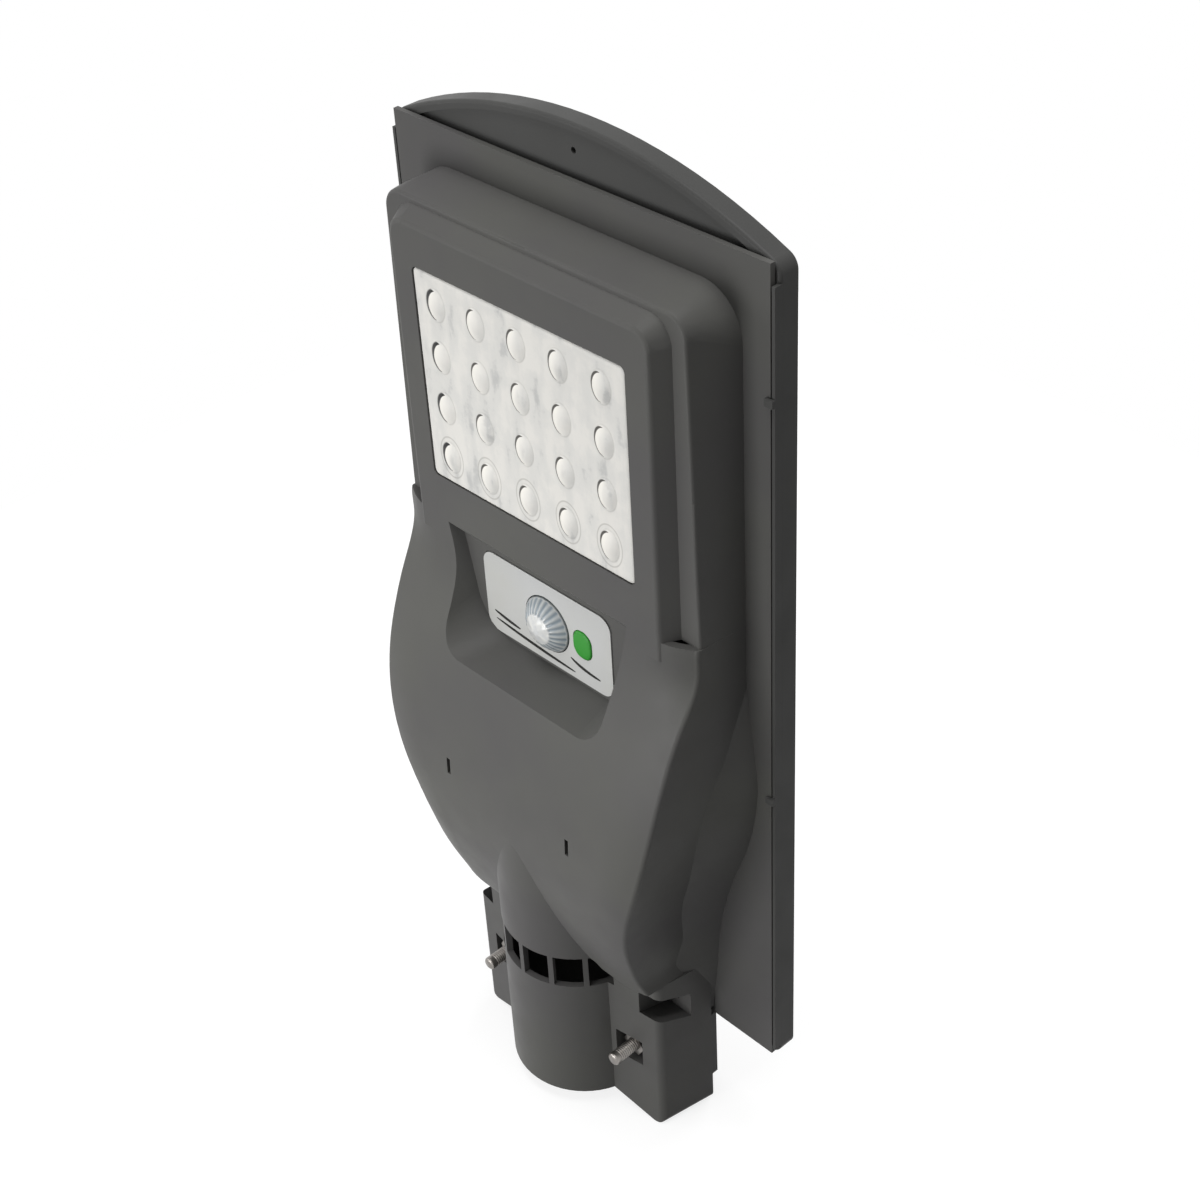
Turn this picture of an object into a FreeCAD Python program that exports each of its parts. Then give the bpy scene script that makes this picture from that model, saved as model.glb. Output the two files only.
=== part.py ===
import FreeCAD, Part
import Sketcher
import math
import os
import re

# Solar street light for the top of a pole, in millimetres.
# The origin is on the pole's axis at the mouth of the socket, +Z is up along the lamp and -Y is the lit face.
# Depths called "forward" are measured towards the lit face from the front of the base flange.

Vector = FreeCAD.Vector
doc = FreeCAD.newDocument("pole_light")
sheet = doc.addObject("Spreadsheet::Sheet", "Sizes")

SIZES = [
    # Pole socket and clamp
    ("pole_offset", 20, "pole axis to the front of the base flange"),
    ("bore_radius", 30.5, "inside of the pole socket"),
    ("socket_wall", 2.8, "wall of the half socket and the neck"),
    ("stop_height", 41, "how far the pole goes in"),
    ("stop_wall", 2.4, "wall that stops the pole"),
    ("partition_height", 90, "wall that closes the neck above the windows"),
    ("neck_height", 146, "top of the neck inside the hood"),
    ("window_low", 66, "bottom of the window row"),
    ("window_tall", 16.5, "height of the window row"),
    ("rib_pitch", 26, "angle between window ribs, degrees"),
    ("rib_angle", 4, "angle that a rib covers, degrees"),
    ("ear_bottom", 7.5, "how far the ears reach below the socket's mouth"),
    ("ear_top", 78, "top of the ears inside the hood"),
    ("ear_root", 24, "inner edge of an ear before the bore is cut"),
    ("ear_front_inner", 13.6, "front of an ear beside the socket"),
    ("ear_front_outer", 8.6, "front of an ear at its outer edge"),
    ("ear_half_front", 57.3, "half width over the ears at the front"),
    ("ear_half_back", 62, "half width over the ears at the back"),
    ("ear_back", 17.6, "back face of the ears behind the pole axis"),
    ("ear_rounding", 4, "rounding of an ear's outer edges"),
    ("ear_flat", 5, "flat bottom of an ear beside its outer edge"),
    ("side_window_back", 7.5, "back of the window in an ear's side"),
    ("side_window_low", 52, "bottom of that window at its back"),
    ("side_window_tall", 13, "height of that window"),
    ("side_window_lean", 8, "how much higher that window is at its front"),
    ("side_window_in", 47, "how far that window reaches in"),
    ("bolt_x", 40.5, "clamp bolt from the middle"),
    ("bolt_z", 32, "clamp bolt above the socket's mouth"),
    ("bolt_radius", 3, "clamp bolt shank"),
    ("bolt_clearance", 0.35, "room round the bolt in its holes"),
    ("bolt_tip", 21.5, "bolt end in front of the pole axis"),
    ("bolt_point", 1.2, "chamfer at the bolt end"),
    ("bolt_head_radius", 5.6, "bolt head across its corners"),
    ("bolt_head_tall", 4, "bolt head"),
    ("nut_radius", 5.7, "nut across its corners"),
    ("nut_tall", 5, "nut"),
    ("thread_gap", 0.1, "room between a bolt and its nut"),
    ("washer_radius", 6.2, "washer"),
    ("washer_thick", 1.4, "washer"),
    ("pocket_width", 14, "square pocket in an ear"),
    ("pocket_depth", 10, "depth of that pocket"),
    ("saddle_gap", 1, "gap between the ears and the saddle"),
    ("saddle_wall", 4.5, "wall of the saddle"),
    ("saddle_plate", 6, "thickness of the saddle's feet"),
    ("saddle_half_width", 58, "half width of the saddle"),
    ("saddle_low", 2, "bottom of the saddle"),
    ("saddle_high", 39.5, "top of the saddle"),
    # Base flange
    ("flange_side", 12.4, "flange beside the foot of the head"),
    ("base_bottom", 45.5, "flange bottom edge"),
    ("base_length", 368, "flange length"),
    ("base_thick", 2.2, "flange thickness"),
    ("shell_wall", 2.5, "wall of the moulded housing"),
    ("edge_rounding", 1.4, "rounding of the outer front edges"),
    ("corner_ease", 1.3, "radius of the hood's side edges as a multiple of that rounding"),
    ("platform_rounding", 2.2, "rounding of the platform's front edges"),
    # Head with the lamp window
    ("head_rise", 21.6, "front of the rail round the platform"),
    ("head_flare", 1.7, "how much wider the head is at the flange than at the rail"),
    ("rail_high", 6, "rail beside the platform at its top"),
    ("rail_low", 9.6, "rail beside the platform at its bottom"),
    ("head_top_back", 398.5, "top of the head at the flange"),
    ("head_top_front", 395.8, "top of the rail"),
    ("head_bottom", 255, "bottom of the head inside the hood"),
    ("head_round_back", 20, "corner rounding at the flange"),
    ("head_round_front", 9, "corner rounding at the rail"),
    ("platform_rise", 29, "front of the platform"),
    ("platform_slope", 4.3, "how much wider the platform is at the rail than at its face"),
    ("platform_side", 11.4, "platform beside the lens plate"),
    ("platform_top_back", 393.4, "top of the platform at the rail"),
    ("platform_top_front", 389.6, "top of the platform's face"),
    ("platform_bottom", 255, "bottom of the platform inside the hood"),
    ("platform_round_back", 14, "corner rounding at the rail"),
    ("platform_round_front", 9, "corner rounding of the face"),
    ("platform_wall", 5, "thickness of the platform's face"),
    ("groove_end_rise", 0.6, "hood above the rail at the lower end of the groove"),
    # Hood
    ("hood_neck_half", 60, "half width of the hood above the ears, at the flange"),
    ("hood_draft", 4.5, "draft of the hood's sides, degrees"),
    ("hood_shoulder", 207, "where the hood starts to narrow"),
    ("hood_waist", 78, "where the hood meets the ears"),
    ("hood_top", 263.5, "top of the hood, the lower end of the groove beside the platform"),
    ("hood_flat", 0.74, "share of the hood's half width that is level across"),
    ("hood_crown", 2.5, "how far the belly falls back towards its side edges"),
    ("hood_radius", 170, "curve of the belly"),
    ("belly_front", 53.8, "foremost point of the belly"),
    ("belly_height", 152.5, "height of that point"),
    ("blend_radius", 55, "hollow curve from the belly to the platform"),
    ("slit_x", 35.7, "drain slit from the middle"),
    ("slit_z", 160.5, "drain slit height"),
    ("slit_wide", 2, "drain slit"),
    ("slit_tall", 8, "drain slit"),
    # Skirt between the hood and the flange
    ("skirt_rise", 27, "depth of the skirt"),
    ("skirt_draft", 21.5, "draft of the skirt, degrees"),
    ("skirt_tuck", 0.2, "skirt inside the head's foot at its top"),
    ("skirt_flare", 5.6, "skirt outside the hood at its widest"),
    ("skirt_turn_flare", 7, "the same halfway down the hood's narrowing part"),
    ("skirt_neck_flare", 4.5, "the same where the hood meets the ears"),
    ("skirt_half_low", 61, "half width at its bottom"),
    ("skirt_top", 236, "top of the skirt"),
    ("skirt_wide_z", 190, "height of the widest place"),
    ("skirt_bottom", 48.5, "bottom of the skirt"),
    ("skirt_hollow", 190, "hollow curve of the skirt above the ears"),
    ("skirt_round", 140, "round curve of the skirt below its widest place"),
    ("skirt_rounding", 60, "rounding of the widest place"),
    # Scoop with the sensor
    ("scoop_rise", 24, "back of the scoop"),
    ("scoop_front", 60, "plane in front of the belly that ends the scoop's shape"),
    ("scoop_half_back", 38.5, "half width of the scoop's floor at its back"),
    ("scoop_wide_back", 47, "half width of its top at its back"),
    ("scoop_half_front", 50, "half width of the scoop's floor at its front plane"),
    ("scoop_wide_front", 71, "half width of its top at its front plane"),
    ("scoop_low_back", 215.5, "floor of the scoop at its back"),
    ("scoop_low_front", 206, "floor of the scoop at its front plane"),
    ("scoop_high_back", 257, "top of the scoop at its back"),
    ("scoop_high_front", 300, "top of the scoop at its front plane"),
    ("scoop_wall", 4.6, "wall behind the scoop"),
    ("scoop_round_back", 8, "rounding of the scoop's lower corners at its back"),
    ("scoop_round_front", 20, "the same at its front plane"),
    # Lamp window
    ("lens_z", 328.2, "middle of the lens plate"),
    ("lens_width", 111.2, "lens plate"),
    ("lens_tall", 89.4, "lens plate"),
    ("lens_thick", 1.7, "lens plate"),
    ("lens_sink", 0.1, "how far the lens plate lies below the platform's face"),
    ("lens_corner", 2.5, "corner rounding of the lens plate"),
    ("lens_fit", 0.25, "room round the lens plate"),
    ("gasket_thick", 0.5, "rubber ring under the lens plate"),
    ("ledge", 4, "width of the ledge under the lens plate"),
    ("dome_pitch", 21.8, "distance between domes"),
    ("dome_columns", 5, "domes in a row"),
    ("dome_rows", 4, "rows of domes"),
    ("dome_radius", 6.6, "radius of a dome's foot"),
    ("dome_tall", 1.5, "height of a dome"),
    ("led_board_side", 7.4, "LED board beside the lens plate"),
    ("led_board_tall", 94, "LED board"),
    ("led_board_thick", 1.6, "LED board"),
    ("led_board_inset", 3.2, "screws from the LED board's sides"),
    ("led_screw_z", 36, "screws above and below the middle of the LED board"),
    ("chip_width", 5, "LED chip"),
    ("chip_thick", 0.8, "LED chip"),
    ("screw_radius", 1.3, "small screw shank"),
    ("screw_head", 2.6, "small screw head"),
    ("screw_head_tall", 1.6, "small screw head"),
    ("screw_length", 5.2, "small screw shank"),
    ("screw_end", 0.1, "room at a small screw's end"),
    ("screw_gap", 0.15, "room round a small screw"),
    # Sensor
    ("cover_half", 36.1, "half width of the sensor cover"),
    ("cover_low", 217.2, "bottom of the sensor cover"),
    ("cover_high", 255, "top of the sensor cover"),
    ("cover_thick", 2, "sensor cover"),
    ("cover_proud", 0.5, "how far the cover stands out of the scoop's back"),
    ("cover_corner", 6, "corner rounding of the sensor cover"),
    ("cover_fit", 0.25, "room round the sensor cover"),
    ("sensor_z", 235.8, "middle of the sensor dome and the button"),
    ("pir_radius", 12.2, "outside of the sensor dome"),
    ("pir_wall", 1.2, "wall of the sensor dome"),
    ("pir_tall", 6.6, "dome in front of the cover"),
    ("pir_fit", 0.3, "room round the sensor dome"),
    ("can_radius", 4.6, "detector can"),
    ("can_tall", 4.4, "detector can"),
    ("sensor_board_low", 216, "bottom of the sensor board"),
    ("sensor_board_high", 254, "top of the sensor board"),
    ("sensor_board_half", 33, "half width of the sensor board"),
    ("sensor_board_thick", 1.6, "sensor board"),
    ("sensor_boss", 2.4, "bosses between the sensor board and the wall"),
    ("sensor_boss_radius", 3, "bosses of the sensor board"),
    ("sensor_screw_inset", 4, "screws from the sensor board's edges"),
    ("button_x", 20, "button from the middle"),
    ("button_width", 10, "button"),
    ("button_tall", 12.6, "button"),
    ("button_corner", 4.6, "corner rounding of the button"),
    ("button_proud", 0.9, "button in front of the cover"),
    ("button_lip", 0.9, "lip behind the cover"),
    ("button_lip_thick", 1.1, "lip behind the cover"),
    ("button_fit", 0.3, "room round the button and its stem"),
    ("button_travel", 1.2, "how far the button goes in"),
    ("stem_radius", 1.5, "button stem"),
    ("switch_width", 7, "push switch"),
    ("switch_floor", 0.3, "bottom of the push switch"),
    ("stem_engage", 0.8, "how deep the stem sits in the switch at rest"),
    # Tray with the solar panel
    ("tray_side", 2, "tray beside the flange"),
    ("tray_bottom", 43, "bottom edge of the tray"),
    ("tray_shoulder", 411.6, "where the arch starts"),
    ("tray_rise", 22, "rise of the arch"),
    ("tray_depth", 8.5, "depth of the tray"),
    ("tray_gap", 0.4, "gap between the flange and the tray"),
    ("tray_corner", 6, "corner rounding of the tray"),
    ("tray_edge", 1.4, "rounding of the tray's front edge"),
    ("tray_rim", 3, "width of the rim round the front"),
    ("tray_recess", 1.2, "depth of the front inside the rim"),
    ("lip_gap", 0.6, "gap between the flange and the lip beside it"),
    ("tray_hole", 1.2, "radius of the small hole in the arch"),
    ("tray_hole_z", 423, "height of that hole"),
    ("hook_wide", 3, "snap hook along the edge"),
    ("hook_thick", 1.1, "snap hook in front of the flange"),
    ("hook_reach", 1.8, "snap hook over the flange"),
    ("hook_fit", 0.3, "room round a snap hook"),
    ("hook_high", 362.5, "upper snap hooks"),
    ("hook_low", 187, "lower snap hooks"),
    ("panel_side", 6, "tray beside the solar panel"),
    ("panel_low", 48, "bottom of the solar panel"),
    ("panel_high", 404, "top of the solar panel"),
    ("panel_thick", 3.2, "solar panel"),
    ("panel_fit", 0.4, "room round the solar panel"),
    ("seal_thick", 0.6, "foam ring under the solar panel"),
    ("seal_width", 6, "foam ring under the solar panel"),
    ("lead_hole", 6, "radius of the hole for the panel's lead"),
    ("lead_hole_z", 352, "height of that hole"),
    ("terminal_half", 4, "half width of the block on the panel"),
    ("terminal_tall", 9, "block on the panel"),
    # Battery
    ("cell_radius", 16, "battery cell"),
    ("cell_long", 66, "battery cell"),
    ("cell_low", 118, "bottom of the battery cells"),
    ("cell_gap", 0.5, "gap between battery cells"),
    ("cell_seat", 0.2, "gap between a cell and the holder or strap"),
    ("cell_room", 0.4, "gap at the ends of the cells"),
    ("cell_nub_radius", 4, "terminal of a battery cell"),
    ("cell_nub_tall", 1, "terminal of a battery cell"),
    ("holder_thick", 2.2, "plate of the battery holder"),
    ("holder_end", 2, "end walls of the battery holder"),
    ("holder_side", 8, "battery holder beside the cells"),
    ("holder_wall_tall", 14, "end walls of the battery holder"),
    ("holder_inset", 3, "holder screws from the side edges"),
    ("holder_screw_in", 7, "holder screws from the ends"),
    ("strap_wide", 14, "battery strap"),
    ("strap_thick", 1, "battery strap"),
    # Controller
    ("control_low", 278, "bottom of the controller board"),
    ("control_high", 330, "top of the controller board"),
    ("control_half", 38, "half width of the controller board"),
    ("control_thick", 1.6, "controller board"),
    ("control_post", 5, "posts under the controller board"),
    ("control_post_radius", 3.2, "posts under the controller board"),
    ("control_inset", 4, "posts from the controller board's edges"),
    ("choke_radius", 7, "choke on the controller board"),
    ("choke_tall", 8, "choke on the controller board"),
    ("capacitor_radius", 4, "capacitors on the controller board"),
    ("capacitor_tall", 10, "capacitors on the controller board"),
    ("connector_half", 12, "half width of the connector"),
    ("connector_tall", 6.5, "connector"),
]
# Widths that follow from the lens plate and the sizes beside it
DERIVED = {
    "platform_half_front": "lens_width / 2 + platform_side",
    "platform_half_back": "platform_half_front + platform_slope",
    "head_half_top": "platform_half_back + rail_high",
    "head_half_low": "platform_half_back + rail_low",
    "head_half_back": "head_half_low + head_flare",
    "skirt_half_top": "head_half_back - skirt_tuck",
    "skirt_half_wide": "head_half_back + skirt_flare",
    "base_half": "head_half_back + flange_side",
    "tray_half": "base_half + tray_side",
    "panel_half": "tray_half - panel_side",
    "led_board_half": "lens_width / 2 + led_board_side",
}
NAMES = {name for name, value, note in SIZES}
for row, (name, value, note) in enumerate(SIZES, start=1):
    sheet.set(f"A{row}", str(value))
    sheet.setAlias(f"A{row}", name)
    sheet.set(f"B{row}", note)
doc.recompute()


def bound(text):
    """Expression text in which each named size reads its cell of the sheet."""
    def cell(found):
        word = found[0]
        if word in DERIVED:
            return f"({bound(DERIVED[word])})"
        return f"Sizes.{word}" if word in NAMES else word
    return re.sub(r"[a-z_]+", cell, str(text))


def number(text):
    """Present value of an expression in millimetres or degrees."""
    return float(sheet.evalExpression(bound(text)))


def bind(thing, **expressions):
    """Tie properties to expressions; a double underscore stands for a dot."""
    for name, text in expressions.items():
        thing.setExpression(name.replace("__", "."), bound(text))


def ahead(forward):
    """Y of a place that lies so far in front of the base flange."""
    return f"pole_offset - ({forward})"


def plane(body, role):
    return next(item for item in body.Origin.OriginFeatures if item.Role == role)


def outline(body, name, role, points, offset="0"):
    """Closed sketch whose corners are bound to expressions.

    Each point is (across, up), or (across, up, radius) where an arc with that radius leads to the next point.
    A positive radius bulges to the right of the walk, a negative one to the left.
    """
    sketch = body.newObject("Sketcher::SketchObject", name)
    sketch.AttachmentSupport = [(plane(body, role), "")]
    sketch.MapMode = "FlatFace"
    bind(sketch, AttachmentOffset__Base__z=offset)
    places = [Vector(number(point[0]), number(point[1]), 0) for point in points]
    for index, point in enumerate(points):
        start = places[index]
        end = places[(index + 1) % len(places)]
        if len(point) == 2:
            sketch.addGeometry(Part.LineSegment(start, end), False)
        else:
            sketch.addGeometry(arc(start, end, number(point[2])), False)
    ends = [end_of(sketch.Geometry[index], places[index]) for index in range(len(points))]
    for index in range(len(points)):
        following = (index + 1) % len(points)
        link = (index, 3 - ends[index], following, ends[following])
        sketch.addConstraint(Sketcher.Constraint("Coincident", *link))
    for index, point in enumerate(points):
        for axis, value in zip("XY", point[:2]):
            rule = Sketcher.Constraint(f"Distance{axis}", -1, 1, index, ends[index], number(value))
            number_in_sketch = sketch.addConstraint(rule)
            sketch.renameConstraint(number_in_sketch, f"{axis.lower()}_{index}")
            sketch.setExpression(f"Constraints.{axis.lower()}_{index}", bound(value))
        if len(point) == 3:
            rule = Sketcher.Constraint("Radius", index, abs(number(point[2])))
            number_in_sketch = sketch.addConstraint(rule)
            sketch.renameConstraint(number_in_sketch, f"radius_{index}")
            sketch.setExpression(f"Constraints.radius_{index}", bound(f"abs({point[2]})"))
    return sketch


def arc(start, end, radius):
    """Arc between two places of a sketch; it bulges right of the walk, or left if the radius is negative."""
    half = (end - start) * 0.5
    left = Vector(-half.y, half.x, 0).normalize()
    centre = start + half + left * math.copysign(math.sqrt(radius ** 2 - half.Length ** 2), radius)
    first, last = (start, end) if radius > 0 else (end, start)
    turns = [math.atan2(place.y - centre.y, place.x - centre.x) for place in (first, last)]
    return Part.ArcOfCircle(Part.Circle(centre, Vector(0, 0, 1), abs(radius)), *turns)


def end_of(piece, place):
    """1 if a line or arc of a sketch starts at a place, and 2 if it ends there."""
    return 1 if (piece.StartPoint - place).Length < (piece.EndPoint - place).Length else 2


def mirrored(points):
    """Right half of an outline, walked upwards, with its left half added."""
    left = []
    for index in range(len(points) - 1, -1, -1):
        across, up = points[index][:2]
        bend = points[index - 1][2:] if index else ()
        left.append((f"-({across})", up, *bend))
    return [tuple(point) for point in points] + left


def rectangle(half, low, high):
    return [(f"-({half})", low), (half, low), (half, high), (f"-({half})", high)]


def round_rectangle(half, low, high, radius, middle="0"):
    """Rectangle with rounded corners about a middle line."""
    points = mirrored([
        (f"({half}) - ({radius})", low, radius),
        (half, f"({low}) + ({radius})"),
        (half, f"({high}) - ({radius})", radius),
        (f"({half}) - ({radius})", high),
    ])
    return [(f"({middle}) + ({point[0]})", *point[1:]) for point in points]


def block(name, points, start, depth, draft="0"):
    """Outline seen from the front, padded forward from a plane; the draft narrows it."""
    body = doc.addObject("PartDesign::Body", name)
    sketch = outline(body, f"{name}_outline", "XZ_Plane", points, f"({start}) - pole_offset")
    pad = body.newObject("PartDesign::Pad", f"{name}_pad")
    pad.Profile = sketch
    bind(pad, Length=depth, TaperAngle=f"-({draft})")
    return body


def loft(name, back_points, back, front_points, front):
    """Straight-sided form between two outlines seen from the front."""
    body = doc.addObject("PartDesign::Body", name)
    first = outline(body, f"{name}_back", "XZ_Plane", back_points, f"({back}) - pole_offset")
    last = outline(body, f"{name}_front", "XZ_Plane", front_points, f"({front}) - pole_offset")
    form = body.newObject("PartDesign::AdditiveLoft", f"{name}_loft")
    form.Profile = first
    form.Sections = [last]
    form.Ruled = True
    return body


def box(name, left, right, front, back, low, high):
    """Box between two places on each axis."""
    piece = doc.addObject("Part::Box", name)
    bind(piece, Length=f"({right}) - ({left})", Width=f"({back}) - ({front})", Height=f"({high}) - ({low})")
    bind(piece, Placement__Base__x=left, Placement__Base__y=front, Placement__Base__z=low)
    return piece


def upright(name, radius, low, high, across="0", depth="0"):
    """Cylinder along Z."""
    piece = doc.addObject("Part::Cylinder", name)
    bind(piece, Radius=radius, Height=f"({high}) - ({low})")
    bind(piece, Placement__Base__x=across, Placement__Base__y=depth, Placement__Base__z=low)
    return piece


def level(name, radius, front, back, across, up):
    """Cylinder along Y between two places."""
    piece = doc.addObject("Part::Cylinder", name)
    bind(piece, Radius=radius, Height=f"({back}) - ({front})")
    piece.Placement = FreeCAD.Placement(Vector(), FreeCAD.Rotation(Vector(1, 0, 0), -90))
    bind(piece, Placement__Base__x=across, Placement__Base__y=front, Placement__Base__z=up)
    return piece


def prism(name, radius, front, back, across, up):
    """Hexagonal prism along Y, its radius taken to the corners."""
    piece = doc.addObject("Part::Prism", name)
    piece.Polygon = 6
    bind(piece, Circumradius=radius, Height=f"({back}) - ({front})")
    piece.Placement = FreeCAD.Placement(Vector(), FreeCAD.Rotation(Vector(1, 0, 0), -90))
    bind(piece, Placement__Base__x=across, Placement__Base__y=front, Placement__Base__z=up)
    return piece


def fuse(name, pieces):
    piece = doc.addObject("Part::MultiFuse", name)
    piece.Shapes = pieces
    piece.Refine = True
    return piece


def cut(name, base, tools):
    """Base with tools taken away."""
    piece = doc.addObject("Part::Cut", name)
    piece.Base = base
    piece.Tool = tools[0] if len(tools) == 1 else fuse(f"{name}_tools", tools)
    return piece


def common(name, first, second):
    piece = doc.addObject("Part::Common", name)
    piece.Base = first
    piece.Tool = second
    return piece


def group(name, pieces):
    """Several separate solids that share one node."""
    piece = doc.addObject("Part::Compound", name)
    piece.Links = pieces
    return piece


def flipped(name, source):
    """Mirror image on the other side of the middle plane."""
    piece = doc.addObject("Part::Mirroring", name)
    piece.Source = source
    piece.Normal = Vector(1, 0, 0)
    return piece


def rounded(name, base, corners):
    """Base with some edges rounded; each corner is (test of an edge's ends, first radius, last radius)."""
    doc.recompute()
    piece = doc.addObject("Part::Fillet", name)
    piece.Base = base
    edges = []
    for index, edge in enumerate(base.Shape.Edges, start=1):
        if len(edge.Vertexes) == 2:
            ends = sorted((vertex.Point for vertex in edge.Vertexes), key=lambda point: -point.y)
            for test, back_radius, front_radius in corners:
                if test(*ends):
                    radii = [number(back_radius), number(front_radius)]
                    if edge.firstVertex(True).Point.y < edge.lastVertex(True).Point.y:
                        radii.reverse()
                    edges.append((index, *radii))
    piece.Edges = edges
    return piece


def along_depth(low=None):
    """Test for edges that run from back to front, above a height if one is given."""
    def test(back, front):
        return abs(back.y - front.y) > 1 and (low is None or min(back.z, front.z) > number(low))
    return test


def both_sides(make):
    """Call make with the side's sign and its name, right then left."""
    return [make(sign, side) for sign, side in (("1", "right"), ("-1", "left"))]


def skirt_form(name, inset, start):
    """Flared foot of the hood, between it and the flange."""
    body = block(name, mirrored([
        (f"skirt_half_low - ({inset})", f"skirt_bottom + ({inset})"),
        (f"hood_neck_half + skirt_neck_flare - ({inset})", "hood_waist", "-skirt_hollow"),
        (f"(hood_neck_half + head_half_back) / 2 + skirt_turn_flare - ({inset})",
         "(hood_waist + hood_shoulder) / 2", "skirt_round"),
        (f"skirt_half_wide - ({inset})", "skirt_wide_z"),
        (f"skirt_half_top - ({inset})", "skirt_top"),
    ]), start, f"skirt_rise - ({inset}) - ({start})", "skirt_draft")

    def widest(back, front):
        return abs(back.y - front.y) > 1 and abs(back.z - number("skirt_wide_z")) < number("skirt_rise") / 2
    return rounded(f"{name}_rounded", body, [(widest, "skirt_rounding", "skirt_rounding")])


def softened(base, low, forward, radius):
    """Form with its front edges rounded where they lie above a height and in front of a depth."""
    def front_edge(back, front):
        return min(back.z, front.z) > number(low) and max(back.y, front.y) < number(ahead(forward)) + 0.1
    return rounded(f"{base.Name}_soft", base, [(front_edge, radius, radius)])


def head_form(name, inset, start):
    """Upper block up to the rail, wider at the flange than at the rail."""
    wide = f"head_half_back - ({inset})"
    low = f"head_half_low - ({inset})"
    high = f"head_half_top - ({inset})"
    top = f"head_top_front - ({inset})"
    front = [(f"-({low})", "head_bottom"), (low, "head_bottom"), (high, top), (f"-({high})", top)]
    back = rectangle(wide, "head_bottom", f"head_top_back - ({inset})")
    body = loft(name, back, start, front, f"head_rise - ({inset})")
    radii = (f"head_round_back - ({inset})", f"head_round_front - ({inset})")
    return rounded(f"{name}_rounded", body, [(along_depth("(head_bottom + head_top_front) / 2"), *radii)])


def platform_form(name, inset, back, front):
    """Raised face round the lamp window."""
    first = rectangle(f"platform_half_back - ({inset})", "platform_bottom", f"platform_top_back - ({inset})")
    last = rectangle(f"platform_half_front - ({inset})", "platform_bottom", f"platform_top_front - ({inset})")
    body = loft(name, first, back, last, front)
    radii = (f"platform_round_back - ({inset})", f"platform_round_front - ({inset})")
    corner = along_depth("(platform_bottom + platform_top_front) / 2")
    return rounded(f"{name}_rounded", body, [(corner, *radii)])


# Heights of the hood's sections, as shares of its narrowing part and of the part above that
HOOD_HEIGHTS = [f"hood_waist + {share} * (hood_shoulder - hood_waist)"
                for share in (0, 0.14, 0.28, 0.42, 0.56, 0.7, 0.85, 1)]
HOOD_HEIGHTS += [f"hood_shoulder + {share} * (hood_top - hood_shoulder)" for share in (0.2, 0.4, 0.6, 0.8, 1)]
BELLY_CENTRE = "belly_front - hood_radius"
HOLLOW_CENTRE = "platform_rise + blend_radius"
HOLLOW_REACH = "hood_radius + blend_radius"
HOLLOW_HIGH = f"belly_height + sqrt(({HOLLOW_REACH})^2 - ({HOLLOW_CENTRE} - ({BELLY_CENTRE}))^2)"
HOLLOW_LOW = f"belly_height + hood_radius / ({HOLLOW_REACH}) * ({HOLLOW_HIGH} - belly_height)"


def hood_half(up):
    """Half width of the hood at the flange: two arcs that narrow it to the neck, and upright above them."""
    span = "(head_half_back - hood_neck_half)"
    bend = f"(({span}^2 + (hood_shoulder - hood_waist)^2) / (4 * {span}))"
    if number(up) >= number("hood_shoulder"):
        return "head_half_back"
    if number(up) >= number("(hood_waist + hood_shoulder) / 2"):
        return f"head_half_back - {bend} + sqrt({bend}^2 - (hood_shoulder - ({up}))^2)"
    return f"hood_neck_half + {bend} - sqrt({bend}^2 - (({up}) - hood_waist)^2)"


def hood_face(up):
    """Front of the hood at its middle: the belly's arc, a hollow arc, then level with the platform."""
    if number(up) <= number(HOLLOW_LOW):
        return f"{BELLY_CENTRE} + sqrt(hood_radius^2 - (({up}) - belly_height)^2)"
    if number(up) <= number(HOLLOW_HIGH):
        return f"{HOLLOW_CENTRE} - sqrt(blend_radius^2 - ({HOLLOW_HIGH} - ({up}))^2)"
    return "platform_rise"


def hood_fall(up):
    """How far the hood's side edges lie behind its middle; more beside the platform than on the belly."""
    most = "platform_rise - head_rise - groove_end_rise"
    if number(up) <= number(HOLLOW_LOW):
        return "hood_crown"
    if number(up) >= number(HOLLOW_HIGH):
        return most
    share = f"(({up}) - ({HOLLOW_LOW})) / ({HOLLOW_HIGH} - ({HOLLOW_LOW}))"
    return f"hood_crown + {share} * ({most} - hood_crown)"


def hood_form(name, inset, start):
    """Belly: level sections with drafted sides and a front that rounds off to small round edges."""
    body = doc.addObject("PartDesign::Body", name)
    sections = []
    for index, up in enumerate(HOOD_HEIGHTS, start=1):
        foot = f"({hood_half(up)} - ({inset}))"
        face = f"({hood_face(up)} - ({inset}))"
        fall = f"({hood_fall(up)})"
        edge = f"({face} - {fall})"
        side = f"({foot} - {edge} * tan(hood_draft))"
        flat = f"({side} * hood_flat)"
        round_off = f"((({side} - {flat})^2 + {fall}^2) / (2 * {fall}))"
        shoulder = (f"({side} + edge_rounding * tan(hood_draft))", ahead(f"{edge} - edge_rounding"))
        brow_across = f"({side} - edge_rounding)"
        brow = f"({face} - {round_off} + sqrt({round_off}^2 - ({brow_across} - {flat})^2))"
        corner = "-edge_rounding * corner_ease"
        sections.append(outline(body, f"{name}_{index}", "XY_Plane", [
            (f"-{foot}", ahead(start)),
            (foot, ahead(start)),
            (*shoulder, corner),
            (brow_across, ahead(brow), f"-{round_off}"),
            (flat, ahead(face)),
            (f"-{flat}", ahead(face), f"-{round_off}"),
            (f"-{brow_across}", ahead(brow), corner),
            (f"-{shoulder[0]}", shoulder[1]),
        ], up))
    form = body.newObject("PartDesign::AdditiveLoft", f"{name}_loft")
    form.Profile = sections[0]
    form.Sections = sections[1:]
    return body


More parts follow.
